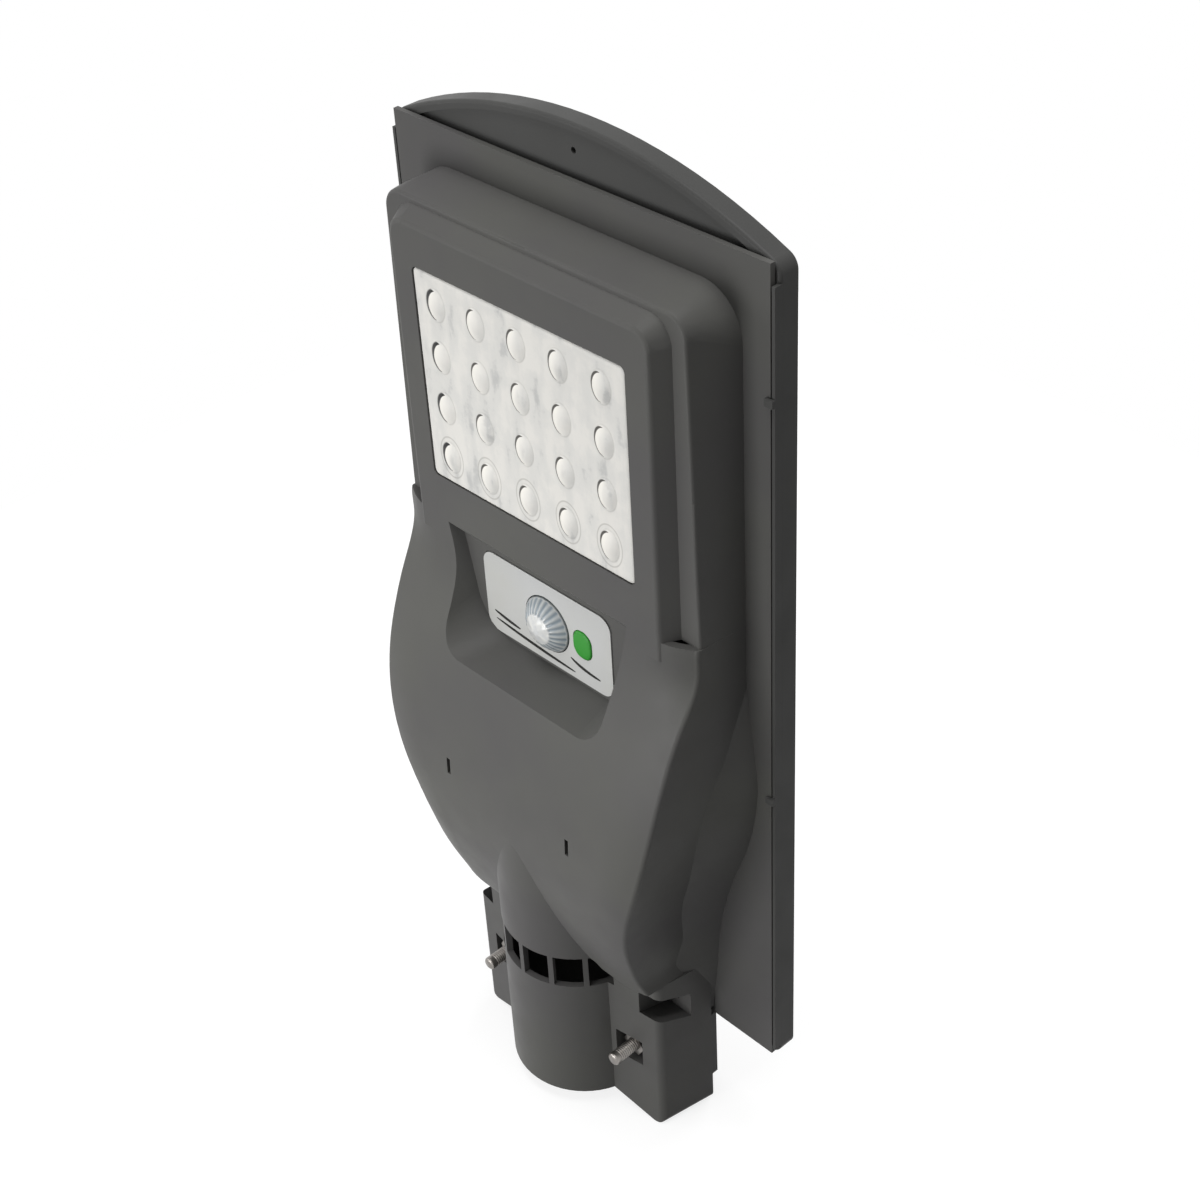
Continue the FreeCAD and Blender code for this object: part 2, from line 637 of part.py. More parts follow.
def ear_form():
    """Right ear of the clamp, with its sloping underside."""
    body = doc.addObject("PartDesign::Body", "ear_block")
    sketch = outline(body, "ear_outline", "XY_Plane", [
        ("ear_root", "-ear_front_inner"),
        ("ear_half_front", "-ear_front_outer"),
        ("ear_half_back", "ear_back"),
        ("ear_root", "ear_back"),
    ], "-ear_bottom")
    pad = body.newObject("PartDesign::Pad", "ear_pad")
    pad.Profile = sketch
    bind(pad, Length="ear_bottom + ear_top")
    beyond = number("ear_half_front") - 1

    def outer_front(back, front):
        return abs(back.z - front.z) > 1 and back.x > beyond and back.y < 0 and front.y < 0

    def outer_bottom(back, front):
        low = max(back.z, front.z) < 0
        return low and abs(back.y - front.y) > 1 and min(back.x, front.x) > beyond
    radii = ("ear_rounding", "ear_rounding")
    soft = rounded("ear_rounded", body, [(outer_front, *radii), (outer_bottom, *radii)])
    slope = block("ear_slope", [
        ("ear_root - 1", "-ear_bottom - 1"),
        ("ear_half_front - ear_flat", "-ear_bottom - 1"),
        ("ear_half_front - ear_flat", "-ear_bottom"),
        ("bore_radius", "0"),
        ("ear_root - 1", "0"),
    ], "0", "pole_offset + ear_front_inner + 1")
    return cut("ear", soft, [slope])


def window_tools():
    """Sectors between the ribs of the window row, from the axis outwards."""
    tools = []
    for index, place in enumerate((-2.5, -1.5, -0.5, 0.5, 1.5, 2.5), start=1):
        tool = doc.addObject("Part::Cylinder", f"window_{index}")
        tool.Placement = FreeCAD.Placement(Vector(), FreeCAD.Rotation(Vector(0, 0, 1), 1))
        bind(tool, Radius="bore_radius + socket_wall * 2", Height="window_tall",
             Angle="rib_pitch - rib_angle")
        bind(tool, Placement__Base__z="window_low")
        bind(tool, Placement__Rotation__Angle=f"{place} * rib_pitch - (rib_pitch - rib_angle) / 2 - 90")
        tools.append(tool)
    return tools


def side_window(sign, side):
    """Opening in the outer side of an ear, higher at its front."""
    body = doc.addObject("PartDesign::Body", f"side_window_{side}")
    front = "-ear_front_inner - 3"
    inner = "side_window_in" if sign == "1" else "-ear_half_back - 3"
    sketch = outline(body, f"side_window_{side}_outline", "YZ_Plane", [
        (front, "side_window_low + side_window_lean"),
        ("side_window_back", "side_window_low"),
        ("side_window_back", "side_window_low + side_window_tall"),
        (front, "side_window_low + side_window_lean + side_window_tall"),
    ], inner)
    pad = body.newObject("PartDesign::Pad", f"side_window_{side}_pad")
    pad.Profile = sketch
    bind(pad, Length="ear_half_back + 3 - side_window_in")
    return body


def scoop_form(name, grow, back):
    """Hollow round the sensor; its sides lie flatter towards its top."""
    def section(half_low, half_high, low, high):
        right = f"{half_low} + ({grow})"
        top = f"{half_high} + ({grow})"
        floor = f"{low} - ({grow})"
        ceiling = f"{high} + ({grow})"
        return [(f"-({right})", floor), (right, floor), (top, ceiling), (f"-({top})", ceiling)]
    first = section("scoop_half_back", "scoop_wide_back", "scoop_low_back", "scoop_high_back")
    last = section("scoop_half_front", "scoop_wide_front", "scoop_low_front", "scoop_high_front")
    body = loft(name, first, back, last, "scoop_front")

    def lower_corner(rear, front):
        return abs(rear.y - front.y) > 1 and max(rear.z, front.z) < number("scoop_high_back")
    radii = (f"scoop_round_back + ({grow})", f"scoop_round_front + ({grow})")
    return rounded(f"{name}_rounded", body, [(lower_corner, *radii)])


LENS_FRONT = "platform_rise - lens_sink"
LENS_BACK = f"{LENS_FRONT} - lens_thick"
LENS_SEAT = f"{LENS_BACK} - gasket_thick"
PLATFORM_BACK = "platform_rise - platform_wall"
COVER_FRONT = "scoop_rise + cover_proud"
COVER_BACK = f"{COVER_FRONT} - cover_thick"
WALL_BACK = "scoop_rise - scoop_wall"
SENSOR_BOARD_FRONT = f"{WALL_BACK} - sensor_boss"
LENS_LOW = "lens_z - lens_tall / 2"
LENS_HIGH = "lens_z + lens_tall / 2"
BUTTON_LOW = "sensor_z - button_tall / 2"
BUTTON_HIGH = "sensor_z + button_tall / 2"
TRAY_FRONT = "-base_thick - tray_gap"
TRAY_BACK = f"{TRAY_FRONT} - tray_depth"
WEB_FRONT = f"{TRAY_FRONT} - tray_recess"
SCREW_HOLE = "screw_radius + screw_gap"
LED_SCREWS = [(f"{across} * (led_board_half - led_board_inset)", f"lens_z + {up} * led_screw_z")
              for across in (1, -1) for up in (1, -1)]
SENSOR_SCREWS = [(f"{across} * (sensor_board_half - sensor_screw_inset)", up)
                 for across in (1, -1)
                 for up in ("sensor_board_low + sensor_screw_inset",
                            "sensor_board_high - sensor_screw_inset")]
CONTROL_SCREWS = [(f"{across} * (control_half - control_inset)", up)
                  for across in (1, -1)
                  for up in ("control_low + control_inset", "control_high - control_inset")]


def button_outline(grow):
    """Outline of the button, larger all round by a margin."""
    return round_rectangle(f"button_width / 2 + ({grow})", f"{BUTTON_LOW} - ({grow})",
                           f"{BUTTON_HIGH} + ({grow})", f"button_corner + ({grow})", "button_x")


def front_housing():
    """Moulded shell: outer form less its hollow, then the walls, windows and seats."""
    behind = "-base_thick - 1"
    plate = block("base_plate", rectangle("base_half", "base_bottom", "base_bottom + base_length"),
                  "-base_thick", "base_thick")
    neck = common("neck", upright("neck_round", "bore_radius + socket_wall", "0", "neck_height"),
                  box("neck_limit", "-ear_half_back", "ear_half_back", "-bore_radius - socket_wall * 2",
                      "ear_back", "-1", "neck_height + 1"))
    ear = ear_form()
    head = softened(head_form("head", "0", "0"), "head_bottom + 1", "head_rise", "edge_rounding")
    platform = softened(platform_form("platform", "0", "head_rise", "platform_rise"), "platform_bottom + 1",
                        "platform_rise", "platform_rounding")
    outer = fuse("housing_outer", [
        plate, skirt_form("skirt", "0", "0"), head, platform, hood_form("hood", "0", "0"),
        neck, ear, flipped("ear_left", ear)])
    core = fuse("housing_core", [
        skirt_form("skirt_core", "shell_wall", behind), head_form("head_core", "shell_wall", behind),
        platform_form("platform_core", "shell_wall", "head_rise - shell_wall - 1", PLATFORM_BACK),
        hood_form("hood_core", "shell_wall", behind)])
    bore = upright("bore", "bore_radius", "-ear_bottom - 1", "neck_height - shell_wall")
    bore_limit = box("bore_limit", "-ear_half_back", "ear_half_back", "-bore_radius - 1", "pole_offset",
                     "-ear_bottom - 1", "neck_height")
    shell = cut("housing_shell", outer, [core, common("bore_open", bore, bore_limit)])
    stop = common("pole_stop", upright("stop_disc", "bore_radius + socket_wall / 2", "stop_height",
                                       "stop_height + stop_wall"),
                  box("stop_limit", "-ear_half_back", "ear_half_back", "-bore_radius - socket_wall",
                      "ear_back", "stop_height", "stop_height + stop_wall"))
    partition = common("neck_partition", outer,
                       box("partition_box", "-base_half", "base_half", ahead("belly_front + 1"),
                           "pole_offset", "partition_height", "partition_height + stop_wall"))
    collar = common("scoop_collar", outer, scoop_form("scoop_grown", "shell_wall", WALL_BACK))
    bosses = [level(f"sensor_boss_{index}", "sensor_boss_radius", ahead(WALL_BACK),
                    ahead(SENSOR_BOARD_FRONT), *place)
              for index, place in enumerate(SENSOR_SCREWS, start=1)]
    solid = fuse("housing_solid", [shell, stop, partition, collar, *bosses])
    tools = window_tools() + both_sides(side_window)
    tools.append(scoop_form("scoop", "0", "scoop_rise"))
    for sign, side in (("1", "right"), ("-1", "left")):
        across = f"{sign} * bolt_x"
        tools.append(level(f"bolt_hole_{side}", "bolt_radius + bolt_clearance", "-bolt_tip", "ear_back + 1",
                           across, "bolt_z"))
        tools.append(box(f"nut_pocket_{side}", f"{across} - pocket_width / 2", f"{across} + pocket_width / 2",
                         "-ear_front_inner - 5", "pocket_depth - ear_front_inner",
                         "bolt_z - pocket_width / 2", "bolt_z + pocket_width / 2"))
        slit = f"{sign} * slit_x"
        tools.append(box(f"slit_{side}", f"{slit} - slit_wide / 2", f"{slit} + slit_wide / 2",
                         ahead("belly_front + 1"), ahead("belly_front - shell_wall * 2"),
                         "slit_z - slit_tall / 2", "slit_z + slit_tall / 2"))
    tools.append(block("lens_seat", round_rectangle("lens_width / 2 + lens_fit", f"{LENS_LOW} - lens_fit",
                                                    f"{LENS_HIGH} + lens_fit", "lens_corner"),
                       LENS_SEAT, "platform_wall"))
    tools.append(block("lamp_opening", round_rectangle("lens_width / 2 - ledge", f"{LENS_LOW} + ledge",
                                                       f"{LENS_HIGH} - ledge", "lens_corner"),
                       f"{PLATFORM_BACK} - 1", "platform_wall"))
    tools.append(block("cover_seat", round_rectangle("cover_half + cover_fit", "cover_low - cover_fit",
                                                     "cover_high + cover_fit", "cover_corner"),
                       COVER_BACK, "cover_thick"))
    tools.append(level("pir_hole", "pir_radius + pir_fit", ahead(COVER_FRONT), ahead(f"{WALL_BACK} - 1"),
                       "0", "sensor_z"))
    tools.append(block("button_hole", button_outline("button_lip + button_fit"), f"{WALL_BACK} - 1",
                       "scoop_wall"))
    for index, place in enumerate(SENSOR_SCREWS, start=1):
        tools.append(level(f"sensor_screw_hole_{index}", SCREW_HOLE,
                           ahead(f"{SENSOR_BOARD_FRONT} + screw_length - sensor_board_thick + screw_end"),
                           ahead(f"{SENSOR_BOARD_FRONT} - 1"), *place))
    for index, place in enumerate(LED_SCREWS, start=1):
        tools.append(level(f"led_screw_hole_{index}", SCREW_HOLE,
                           ahead(f"{PLATFORM_BACK} + screw_length - led_board_thick + screw_end"),
                           ahead(f"{PLATFORM_BACK} - 1"), *place))
    return cut("front_housing", solid, tools)


def cap(name, foot, tall, forward, across, up, sunk="0"):
    """Slice of a ball that rises from a plane; its foot's radius is given, and it may reach below."""
    ball = doc.addObject("Part::Sphere", name)
    radius = f"(({foot})^2 + ({tall})^2) / (2 * ({tall}))"
    ball.Placement = FreeCAD.Placement(Vector(), FreeCAD.Rotation(Vector(1, 0, 0), 90))
    bind(ball, Radius=radius, Angle1=f"asin((({radius}) - ({tall}) - ({sunk})) / ({radius}))")
    centre = ahead(f"({forward}) + ({tall}) - ({radius})")
    bind(ball, Placement__Base__x=across, Placement__Base__y=centre, Placement__Base__z=up)
    return ball


def plate(name, front, back, low, high, half, holes):
    """Flat board with screw holes."""
    board = box(f"{name}_blank", f"-({half})", half, ahead(front), ahead(back), low, high)
    tools = [level(f"{name}_hole_{index}", SCREW_HOLE, ahead(f"{front} + 1"), ahead(f"{back} - 1"), *place)
             for index, place in enumerate(holes, start=1)]
    return cut(name, board, tools)


def screws(name, places, seat, forward=True):
    """Screws whose heads sit on a plane, driven forward or backward."""
    made = []
    for index, place in enumerate(places, start=1):
        head_end = f"{seat} - screw_head_tall" if forward else f"{seat} + screw_head_tall"
        tip = f"{seat} + screw_length" if forward else f"{seat} - screw_length"
        head = [ahead(seat), ahead(head_end)] if forward else [ahead(head_end), ahead(seat)]
        shank = [ahead(tip), ahead(seat)] if forward else [ahead(seat), ahead(tip)]
        made.append(fuse(f"{name}_{index}", [
            level(f"{name}_{index}_head", "screw_head", *head, *place),
            level(f"{name}_{index}_shank", "screw_radius", *shank, *place)]))
    return group(name, made)


DOMES = [(f"({column} - (dome_columns - 1) / 2) * dome_pitch",
          f"lens_z + ({row} - (dome_rows - 1) / 2) * dome_pitch")
         for row in range(int(number("dome_rows")))
         for column in range(int(number("dome_columns")))]
LED_BOARD_BACK = f"{PLATFORM_BACK} - led_board_thick"
SENSOR_BOARD_BACK = f"{SENSOR_BOARD_FRONT} - sensor_board_thick"
LIP_FRONT = f"{COVER_BACK} - button_fit"
LIP_BACK = f"{LIP_FRONT} - button_lip_thick"
SWITCH_TOP = f"{LIP_BACK} - button_travel - button_fit"


def lamp_pieces():
    """Lens plate, its gasket, and the LED board with its chips and screws."""
    lens = block("lens_blank", round_rectangle("lens_width / 2", LENS_LOW, LENS_HIGH, "lens_corner"),
                 LENS_BACK, "lens_thick")
    domes = [cap(f"lens_dome_{index}", "dome_radius", "dome_tall", LENS_FRONT, *place, "lens_thick / 2")
             for index, place in enumerate(DOMES, start=1)]
    fuse("led_lens_plate", [lens, *domes])
    ring = block("gasket_outer", round_rectangle("lens_width / 2", LENS_LOW, LENS_HIGH, "lens_corner"),
                 LENS_SEAT, "gasket_thick")
    hole = block("gasket_hole", round_rectangle("lens_width / 2 - ledge", f"{LENS_LOW} + ledge",
                                                f"{LENS_HIGH} - ledge", "lens_corner"),
                 f"{LENS_SEAT} - 1", "gasket_thick + 2")
    cut("lens_gasket", ring, [hole])
    plate("led_board", PLATFORM_BACK, LED_BOARD_BACK, "lens_z - led_board_tall / 2",
          "lens_z + led_board_tall / 2", "led_board_half", LED_SCREWS)
    chips = [box(f"led_chip_{index}", f"{across} - chip_width / 2", f"{across} + chip_width / 2",
                 ahead(f"{PLATFORM_BACK} + chip_thick"), ahead(PLATFORM_BACK),
                 f"{up} - chip_width / 2", f"{up} + chip_width / 2")
             for index, (across, up) in enumerate(DOMES, start=1)]
    group("led_chips", chips)
    screws("led_board_screws", LED_SCREWS, LED_BOARD_BACK)


def sensor_pieces():
    """Cover, sensor dome, button, and the board behind them."""
    cover = block("cover_blank", round_rectangle("cover_half", "cover_low", "cover_high", "cover_corner"),
                  COVER_BACK, "cover_thick")
    cut("sensor_cover", cover, [
        level("cover_pir_hole", "pir_radius + pir_fit", ahead(f"{COVER_FRONT} + 1"),
              ahead(f"{COVER_BACK} - 1"), "0", "sensor_z"),
        block("cover_button_hole", button_outline("button_fit"), f"{COVER_BACK} - 1", "cover_thick + 2")])
    dome = fuse("pir_outer", [
        level("pir_skirt", "pir_radius", ahead(COVER_FRONT), ahead(SENSOR_BOARD_FRONT), "0", "sensor_z"),
        cap("pir_cap", "pir_radius", "pir_tall", COVER_FRONT, "0", "sensor_z")])
    hollow = fuse("pir_hollow", [
        level("pir_hollow_skirt", "pir_radius - pir_wall", ahead(COVER_FRONT),
              ahead(f"{SENSOR_BOARD_FRONT} - 1"), "0", "sensor_z"),
        cap("pir_hollow_cap", "pir_radius - pir_wall", "pir_tall - pir_wall", COVER_FRONT, "0", "sensor_z")])
    cut("pir_lens", dome, [hollow])
    level("pir_detector", "can_radius", ahead(f"{SENSOR_BOARD_FRONT} + can_tall"), ahead(SENSOR_BOARD_FRONT),
          "0", "sensor_z")
    fuse("power_button", [
        block("button_cap", button_outline("0"), LIP_FRONT, f"{COVER_FRONT} + button_proud - ({LIP_FRONT})"),
        block("button_flange", button_outline("button_lip"), LIP_BACK, "button_lip_thick"),
        level("button_stem", "stem_radius", ahead(LIP_BACK), ahead(f"{SWITCH_TOP} - stem_engage"),
              "button_x", "sensor_z")])
    switch = box("switch_blank", "button_x - switch_width / 2", "button_x + switch_width / 2",
                 ahead(SWITCH_TOP), ahead(SENSOR_BOARD_FRONT),
                 "sensor_z - switch_width / 2", "sensor_z + switch_width / 2")
    cut("push_switch", switch, [
        level("switch_bore", "stem_radius + button_fit", ahead(f"{SWITCH_TOP} + 1"),
              ahead(f"{SENSOR_BOARD_FRONT} + switch_floor"), "button_x", "sensor_z")])
    plate("sensor_board", SENSOR_BOARD_FRONT, SENSOR_BOARD_BACK, "sensor_board_low", "sensor_board_high",
          "sensor_board_half", SENSOR_SCREWS)
    screws("sensor_board_screws", SENSOR_SCREWS, SENSOR_BOARD_BACK)


CELLS_HALF = "3 * cell_radius + cell_gap"
HOLDER_FRONT = f"{WEB_FRONT} + holder_thick"
CELL_AXIS = f"{HOLDER_FRONT} + cell_seat + cell_radius"
CELL_FRONT = f"{CELL_AXIS} + cell_radius"
CELL_HIGH = "cell_low + cell_long"
HOLDER_LOW = "cell_low - cell_room - holder_end"
HOLDER_HIGH = f"{CELL_HIGH} + cell_nub_tall + cell_room + holder_end"
HOLDER_SCREWS = [(f"{across} * ({CELLS_HALF} + holder_side - holder_inset)", up)
                 for across in (1, -1)
                 for up in (f"{HOLDER_LOW} + holder_screw_in", f"{HOLDER_HIGH} - holder_screw_in")]
CONTROL_BACK = f"{WEB_FRONT} + control_post"
CONTROL_FRONT = f"{CONTROL_BACK} + control_thick"
PANEL_FRONT = f"{TRAY_BACK} + panel_thick"


def snap_hook(name, height):
    """Right-hand hook: a post beside the flange with a finger over it."""
    low = f"{height} - hook_wide / 2"
    high = f"{height} + hook_wide / 2"
    front = ahead("hook_fit + hook_thick")
    return fuse(name, [
        box(f"{name}_post", "base_half + hook_fit", "tray_half", front, ahead(f"{TRAY_FRONT} - tray_recess"),
            low, high),
        box(f"{name}_finger", "base_half - hook_reach", "tray_half", front, ahead("hook_fit"), low, high)])


def solar_frame():
    """Arched tray: a rim, lips and a recessed field in front, a pocket for the panel at the back."""
    bend = "(tray_half^2 + tray_rise^2) / (2 * tray_rise)"
    body = block("tray", mirrored([("tray_half", "tray_bottom"), ("tray_half", "tray_shoulder", bend)]),
                 TRAY_BACK, "tray_depth")
    corners = rounded("tray_corners", body, [(along_depth(), "tray_corner", "tray_corner")])
    face = number(ahead(TRAY_FRONT))

    def front_edge(back, front):
        return abs(back.y - face) < 0.01 and abs(front.y - face) < 0.01
    soft = rounded("tray_soft", corners, [(front_edge, "tray_edge", "tray_edge")])
    hooks = [snap_hook("hook_upper", "hook_high"), snap_hook("hook_lower", "hook_low")]
    hooks += [flipped("hook_upper_left", hooks[0]), flipped("hook_lower_left", hooks[1])]
    lip = box("lip_right", "base_half + lip_gap", "tray_half", ahead("0"), ahead(WEB_FRONT),
              "tray_bottom + tray_corner", "tray_shoulder - tray_corner")
    lips = [lip, flipped("lip_left", lip)]
    posts = [level(f"control_post_{index}", "control_post_radius", ahead(CONTROL_BACK),
                   ahead(f"{WEB_FRONT} - tray_recess"), *place)
             for index, place in enumerate(CONTROL_SCREWS, start=1)]
    inner = "tray_half - tray_rim"
    inner_bend = f"(({inner})^2 + tray_rise^2) / (2 * tray_rise)"
    field = block("tray_field", mirrored([(inner, "tray_bottom + tray_rim"),
                                          (inner, "tray_shoulder - tray_rim", inner_bend)]),
                  WEB_FRONT, "tray_recess + 1")
    solid = fuse("tray_solid", [cut("tray_dished", soft, [field]), *lips, *hooks, *posts])
    tools = [
        block("panel_pocket", rectangle("panel_half + panel_fit", "panel_low - panel_fit",
                                        "panel_high + panel_fit"),
              f"{TRAY_BACK} - 1", "panel_thick + seal_thick + 1"),
        level("lead_opening", "lead_hole", ahead(TRAY_FRONT), ahead(TRAY_BACK), "0", "lead_hole_z"),
        level("arch_hole", "tray_hole", ahead(TRAY_FRONT), ahead(f"{TRAY_BACK} - 1"), "0", "tray_hole_z")]
    for index, place in enumerate(CONTROL_SCREWS, start=1):
        tools.append(level(f"control_screw_hole_{index}", SCREW_HOLE, ahead(f"{CONTROL_BACK} + 1"),
                           ahead(f"{CONTROL_FRONT} - screw_length - screw_end"), *place))
    for index, place in enumerate(HOLDER_SCREWS, start=1):
        tools.append(level(f"holder_screw_hole_{index}", SCREW_HOLE, ahead(f"{WEB_FRONT} + 1"),
                           ahead(f"{HOLDER_FRONT} - screw_length - screw_end"), *place))
    return cut("solar_frame", solid, tools)


def panel_pieces():
    """Solar panel, the foam ring under it, and the block its lead starts from."""
    half = "panel_half"
    box("solar_panel", f"-{half}", half, ahead(PANEL_FRONT), ahead(TRAY_BACK), "panel_low", "panel_high")
    seal = box("seal_outer", f"-{half}", half, ahead(f"{PANEL_FRONT} + seal_thick"), ahead(PANEL_FRONT),
               "panel_low", "panel_high")
    hole = box("seal_hole", f"seal_width - {half}", f"{half} - seal_width",
               ahead(f"{PANEL_FRONT} + seal_thick + 1"), ahead(f"{PANEL_FRONT} - 1"),
               "panel_low + seal_width", "panel_high - seal_width")
    cut("panel_seal", seal, [hole])
    box("panel_terminal_box", "-terminal_half", "terminal_half", ahead(f"{PANEL_FRONT} + terminal_tall"),
        ahead(PANEL_FRONT), "lead_hole_z - terminal_half", "lead_hole_z + terminal_half")


def battery_pieces():
    """Three cells in a holder on the tray, with a strap over them."""
    cells = []
    for index in (1, 2, 3):
        across = f"({index} - 2) * (2 * cell_radius + cell_gap)"
        cells.append(fuse(f"battery_cell_{index}", [
            upright(f"battery_can_{index}", "cell_radius", "cell_low", CELL_HIGH, across, ahead(CELL_AXIS)),
            upright(f"battery_nub_{index}", "cell_nub_radius", CELL_HIGH, f"{CELL_HIGH} + cell_nub_tall",
                    across, ahead(CELL_AXIS))]))
    group("battery_cells", cells)
    half = f"{CELLS_HALF} + holder_side"
    back_plate = plate("holder_plate", HOLDER_FRONT, WEB_FRONT, HOLDER_LOW, HOLDER_HIGH, half, HOLDER_SCREWS)
    ends = [box(f"holder_end_{side}", f"-({CELLS_HALF})", CELLS_HALF,
                ahead(f"{HOLDER_FRONT} + holder_wall_tall"), ahead(HOLDER_FRONT), low, f"{low} + holder_end")
            for side, low in (("low", HOLDER_LOW), ("high", f"{HOLDER_HIGH} - holder_end"))]
    fuse("battery_holder", [back_plate, *ends])
    screws("battery_holder_screws", HOLDER_SCREWS, HOLDER_FRONT, forward=False)
    inner = f"{CELLS_HALF} + cell_room"
    low = "cell_low + (cell_long - strap_wide) / 2"
    high = "cell_low + (cell_long + strap_wide) / 2"
    front = ahead(f"{CELL_FRONT} + cell_seat + strap_thick")
    bar = box("strap_bar", f"-({inner}) - strap_thick", f"{inner} + strap_thick", front,
              ahead(f"{CELL_FRONT} + cell_seat"), low, high)
    right = box("strap_leg", inner, f"{inner} + strap_thick", front, ahead(HOLDER_FRONT), low, high)
    fuse("battery_strap", [bar, right, flipped("strap_leg_left", right)])


def control_pieces():
    """Controller board on the tray's posts, with the parts soldered to it."""
    plate("controller_board", CONTROL_FRONT, CONTROL_BACK, "control_low", "control_high", "control_half",
          CONTROL_SCREWS)
    screws("controller_screws", CONTROL_SCREWS, CONTROL_FRONT, forward=False)
    middle = "(control_low + control_high) / 2"
    base = ahead(CONTROL_FRONT)
    group("controller_parts", [
        level("choke", "choke_radius", ahead(f"{CONTROL_FRONT} + choke_tall"), base,
              "-control_half / 2", middle),
        level("capacitor_1", "capacitor_radius", ahead(f"{CONTROL_FRONT} + capacitor_tall"), base,
              "control_half / 8", f"{middle} + capacitor_radius * 2"),
        level("capacitor_2", "capacitor_radius", ahead(f"{CONTROL_FRONT} + capacitor_tall"), base,
              "control_half / 8 + capacitor_radius * 2.5", f"{middle} + capacitor_radius * 2"),
        box("control_chip", "control_half / 3", "control_half / 3 + chip_width * 2",
            ahead(f"{CONTROL_FRONT} + chip_thick * 2"), base, f"{middle} - chip_width * 2", middle),
        box("connector", "-connector_half", "connector_half", ahead(f"{CONTROL_FRONT} + connector_tall"),
            base, "control_low + 1", "control_low + 1 + connector_tall")])


SADDLE_FRONT = "ear_back + saddle_gap"
SADDLE_BACK = f"{SADDLE_FRONT} + saddle_plate"
HEAD_SEAT = f"{SADDLE_BACK} + washer_thick"
NUT_BACK = "pocket_depth - ear_front_inner"


def bolted(make):
    """Two of a piece, one on each clamp bolt."""
    return [make(side, f"{sign} * bolt_x") for sign, side in ((1, "right"), (-1, "left"))]


def clamp_pieces():
    """Rear half of the pole clamp and the two bolts that draw it to the ears."""
    bulge = common("saddle_bulge",
                   upright("saddle_round", "bore_radius + saddle_wall", "saddle_low", "saddle_high"),
                   box("saddle_limit", "-ear_half_back", "ear_half_back", SADDLE_FRONT,
                       "bore_radius + saddle_wall + 1", "saddle_low", "saddle_high"))
    feet = box("saddle_feet", "-saddle_half_width", "saddle_half_width", SADDLE_FRONT, SADDLE_BACK,
               "saddle_low", "saddle_high")
    holes = bolted(lambda side, across: level(f"saddle_hole_{side}", "bolt_radius + bolt_clearance",
                                              f"{SADDLE_FRONT} - 1", f"{SADDLE_BACK} + 1", across, "bolt_z"))
    bore = upright("saddle_bore", "bore_radius", "saddle_low - 1", "saddle_high + 1")
    cut("clamp_saddle", fuse("saddle_solid", [bulge, feet]), [bore, *holes])

    def bolt(side, across):
        point = doc.addObject("Part::Cone", f"bolt_point_{side}")
        point.Placement = FreeCAD.Placement(Vector(), FreeCAD.Rotation(Vector(1, 0, 0), -90))
        bind(point, Radius1="bolt_radius - bolt_point / 2", Radius2="bolt_radius", Height="bolt_point")
        bind(point, Placement__Base__x=across, Placement__Base__y="-bolt_tip", Placement__Base__z="bolt_z")
        return fuse(f"clamp_bolt_{side}", [
            point,
            level(f"bolt_shank_{side}", "bolt_radius", "bolt_point - bolt_tip", HEAD_SEAT, across, "bolt_z"),
            prism(f"bolt_head_{side}", "bolt_head_radius", HEAD_SEAT, f"{HEAD_SEAT} + bolt_head_tall",
                  across, "bolt_z")])

    def washer(side, across):
        disc = level(f"washer_disc_{side}", "washer_radius", SADDLE_BACK, HEAD_SEAT, across, "bolt_z")
        return cut(f"clamp_washer_{side}", disc, [
            level(f"washer_hole_{side}", "bolt_radius + bolt_clearance", f"{SADDLE_BACK} - 1",
                  f"{HEAD_SEAT} + 1", across, "bolt_z")])

    def nut(side, across):
        blank = prism(f"nut_blank_{side}", "nut_radius", f"{NUT_BACK} - nut_tall", NUT_BACK, across, "bolt_z")
        return cut(f"clamp_nut_{side}", blank, [
            level(f"nut_thread_{side}", "bolt_radius + thread_gap", f"{NUT_BACK} - nut_tall - 1",
                  f"{NUT_BACK} + 1", across, "bolt_z")])
    group("clamp_bolts", bolted(bolt))
    group("clamp_washers", bolted(washer))
    group("clamp_nuts", bolted(nut))


NODES = [
    "front_housing", "solar_frame", "solar_panel", "panel_seal", "panel_terminal_box",
    "led_lens_plate", "lens_gasket", "led_board", "led_chips", "led_board_screws",
    "sensor_cover", "pir_lens", "pir_detector", "power_button", "push_switch",
    "sensor_board", "sensor_board_screws",
    "battery_cells", "battery_holder", "battery_holder_screws", "battery_strap",
    "controller_board", "controller_parts", "controller_screws",
    "clamp_saddle", "clamp_bolts", "clamp_nuts", "clamp_washers",
]

front_housing()
solar_frame()
panel_pieces()
lamp_pieces()
sensor_pieces()
battery_pieces()
control_pieces()
clamp_pieces()
doc.recompute()

for item in doc.Objects:
    if "Invalid" in item.State or "Error" in item.State:
        raise RuntimeError(f"{item.Name} did not build: {item.State}")
os.makedirs("parts", exist_ok=True)
for node in NODES:
    piece = doc.getObject(node)
    piece.Label = node
    if piece.Shape.isNull() or not piece.Shape.isValid():
        raise RuntimeError(f"{node} has no valid shape")
    piece.Shape.exportStep(f"parts/{node}.step")
    print(node, len(piece.Shape.Solids), round(piece.Shape.Volume))
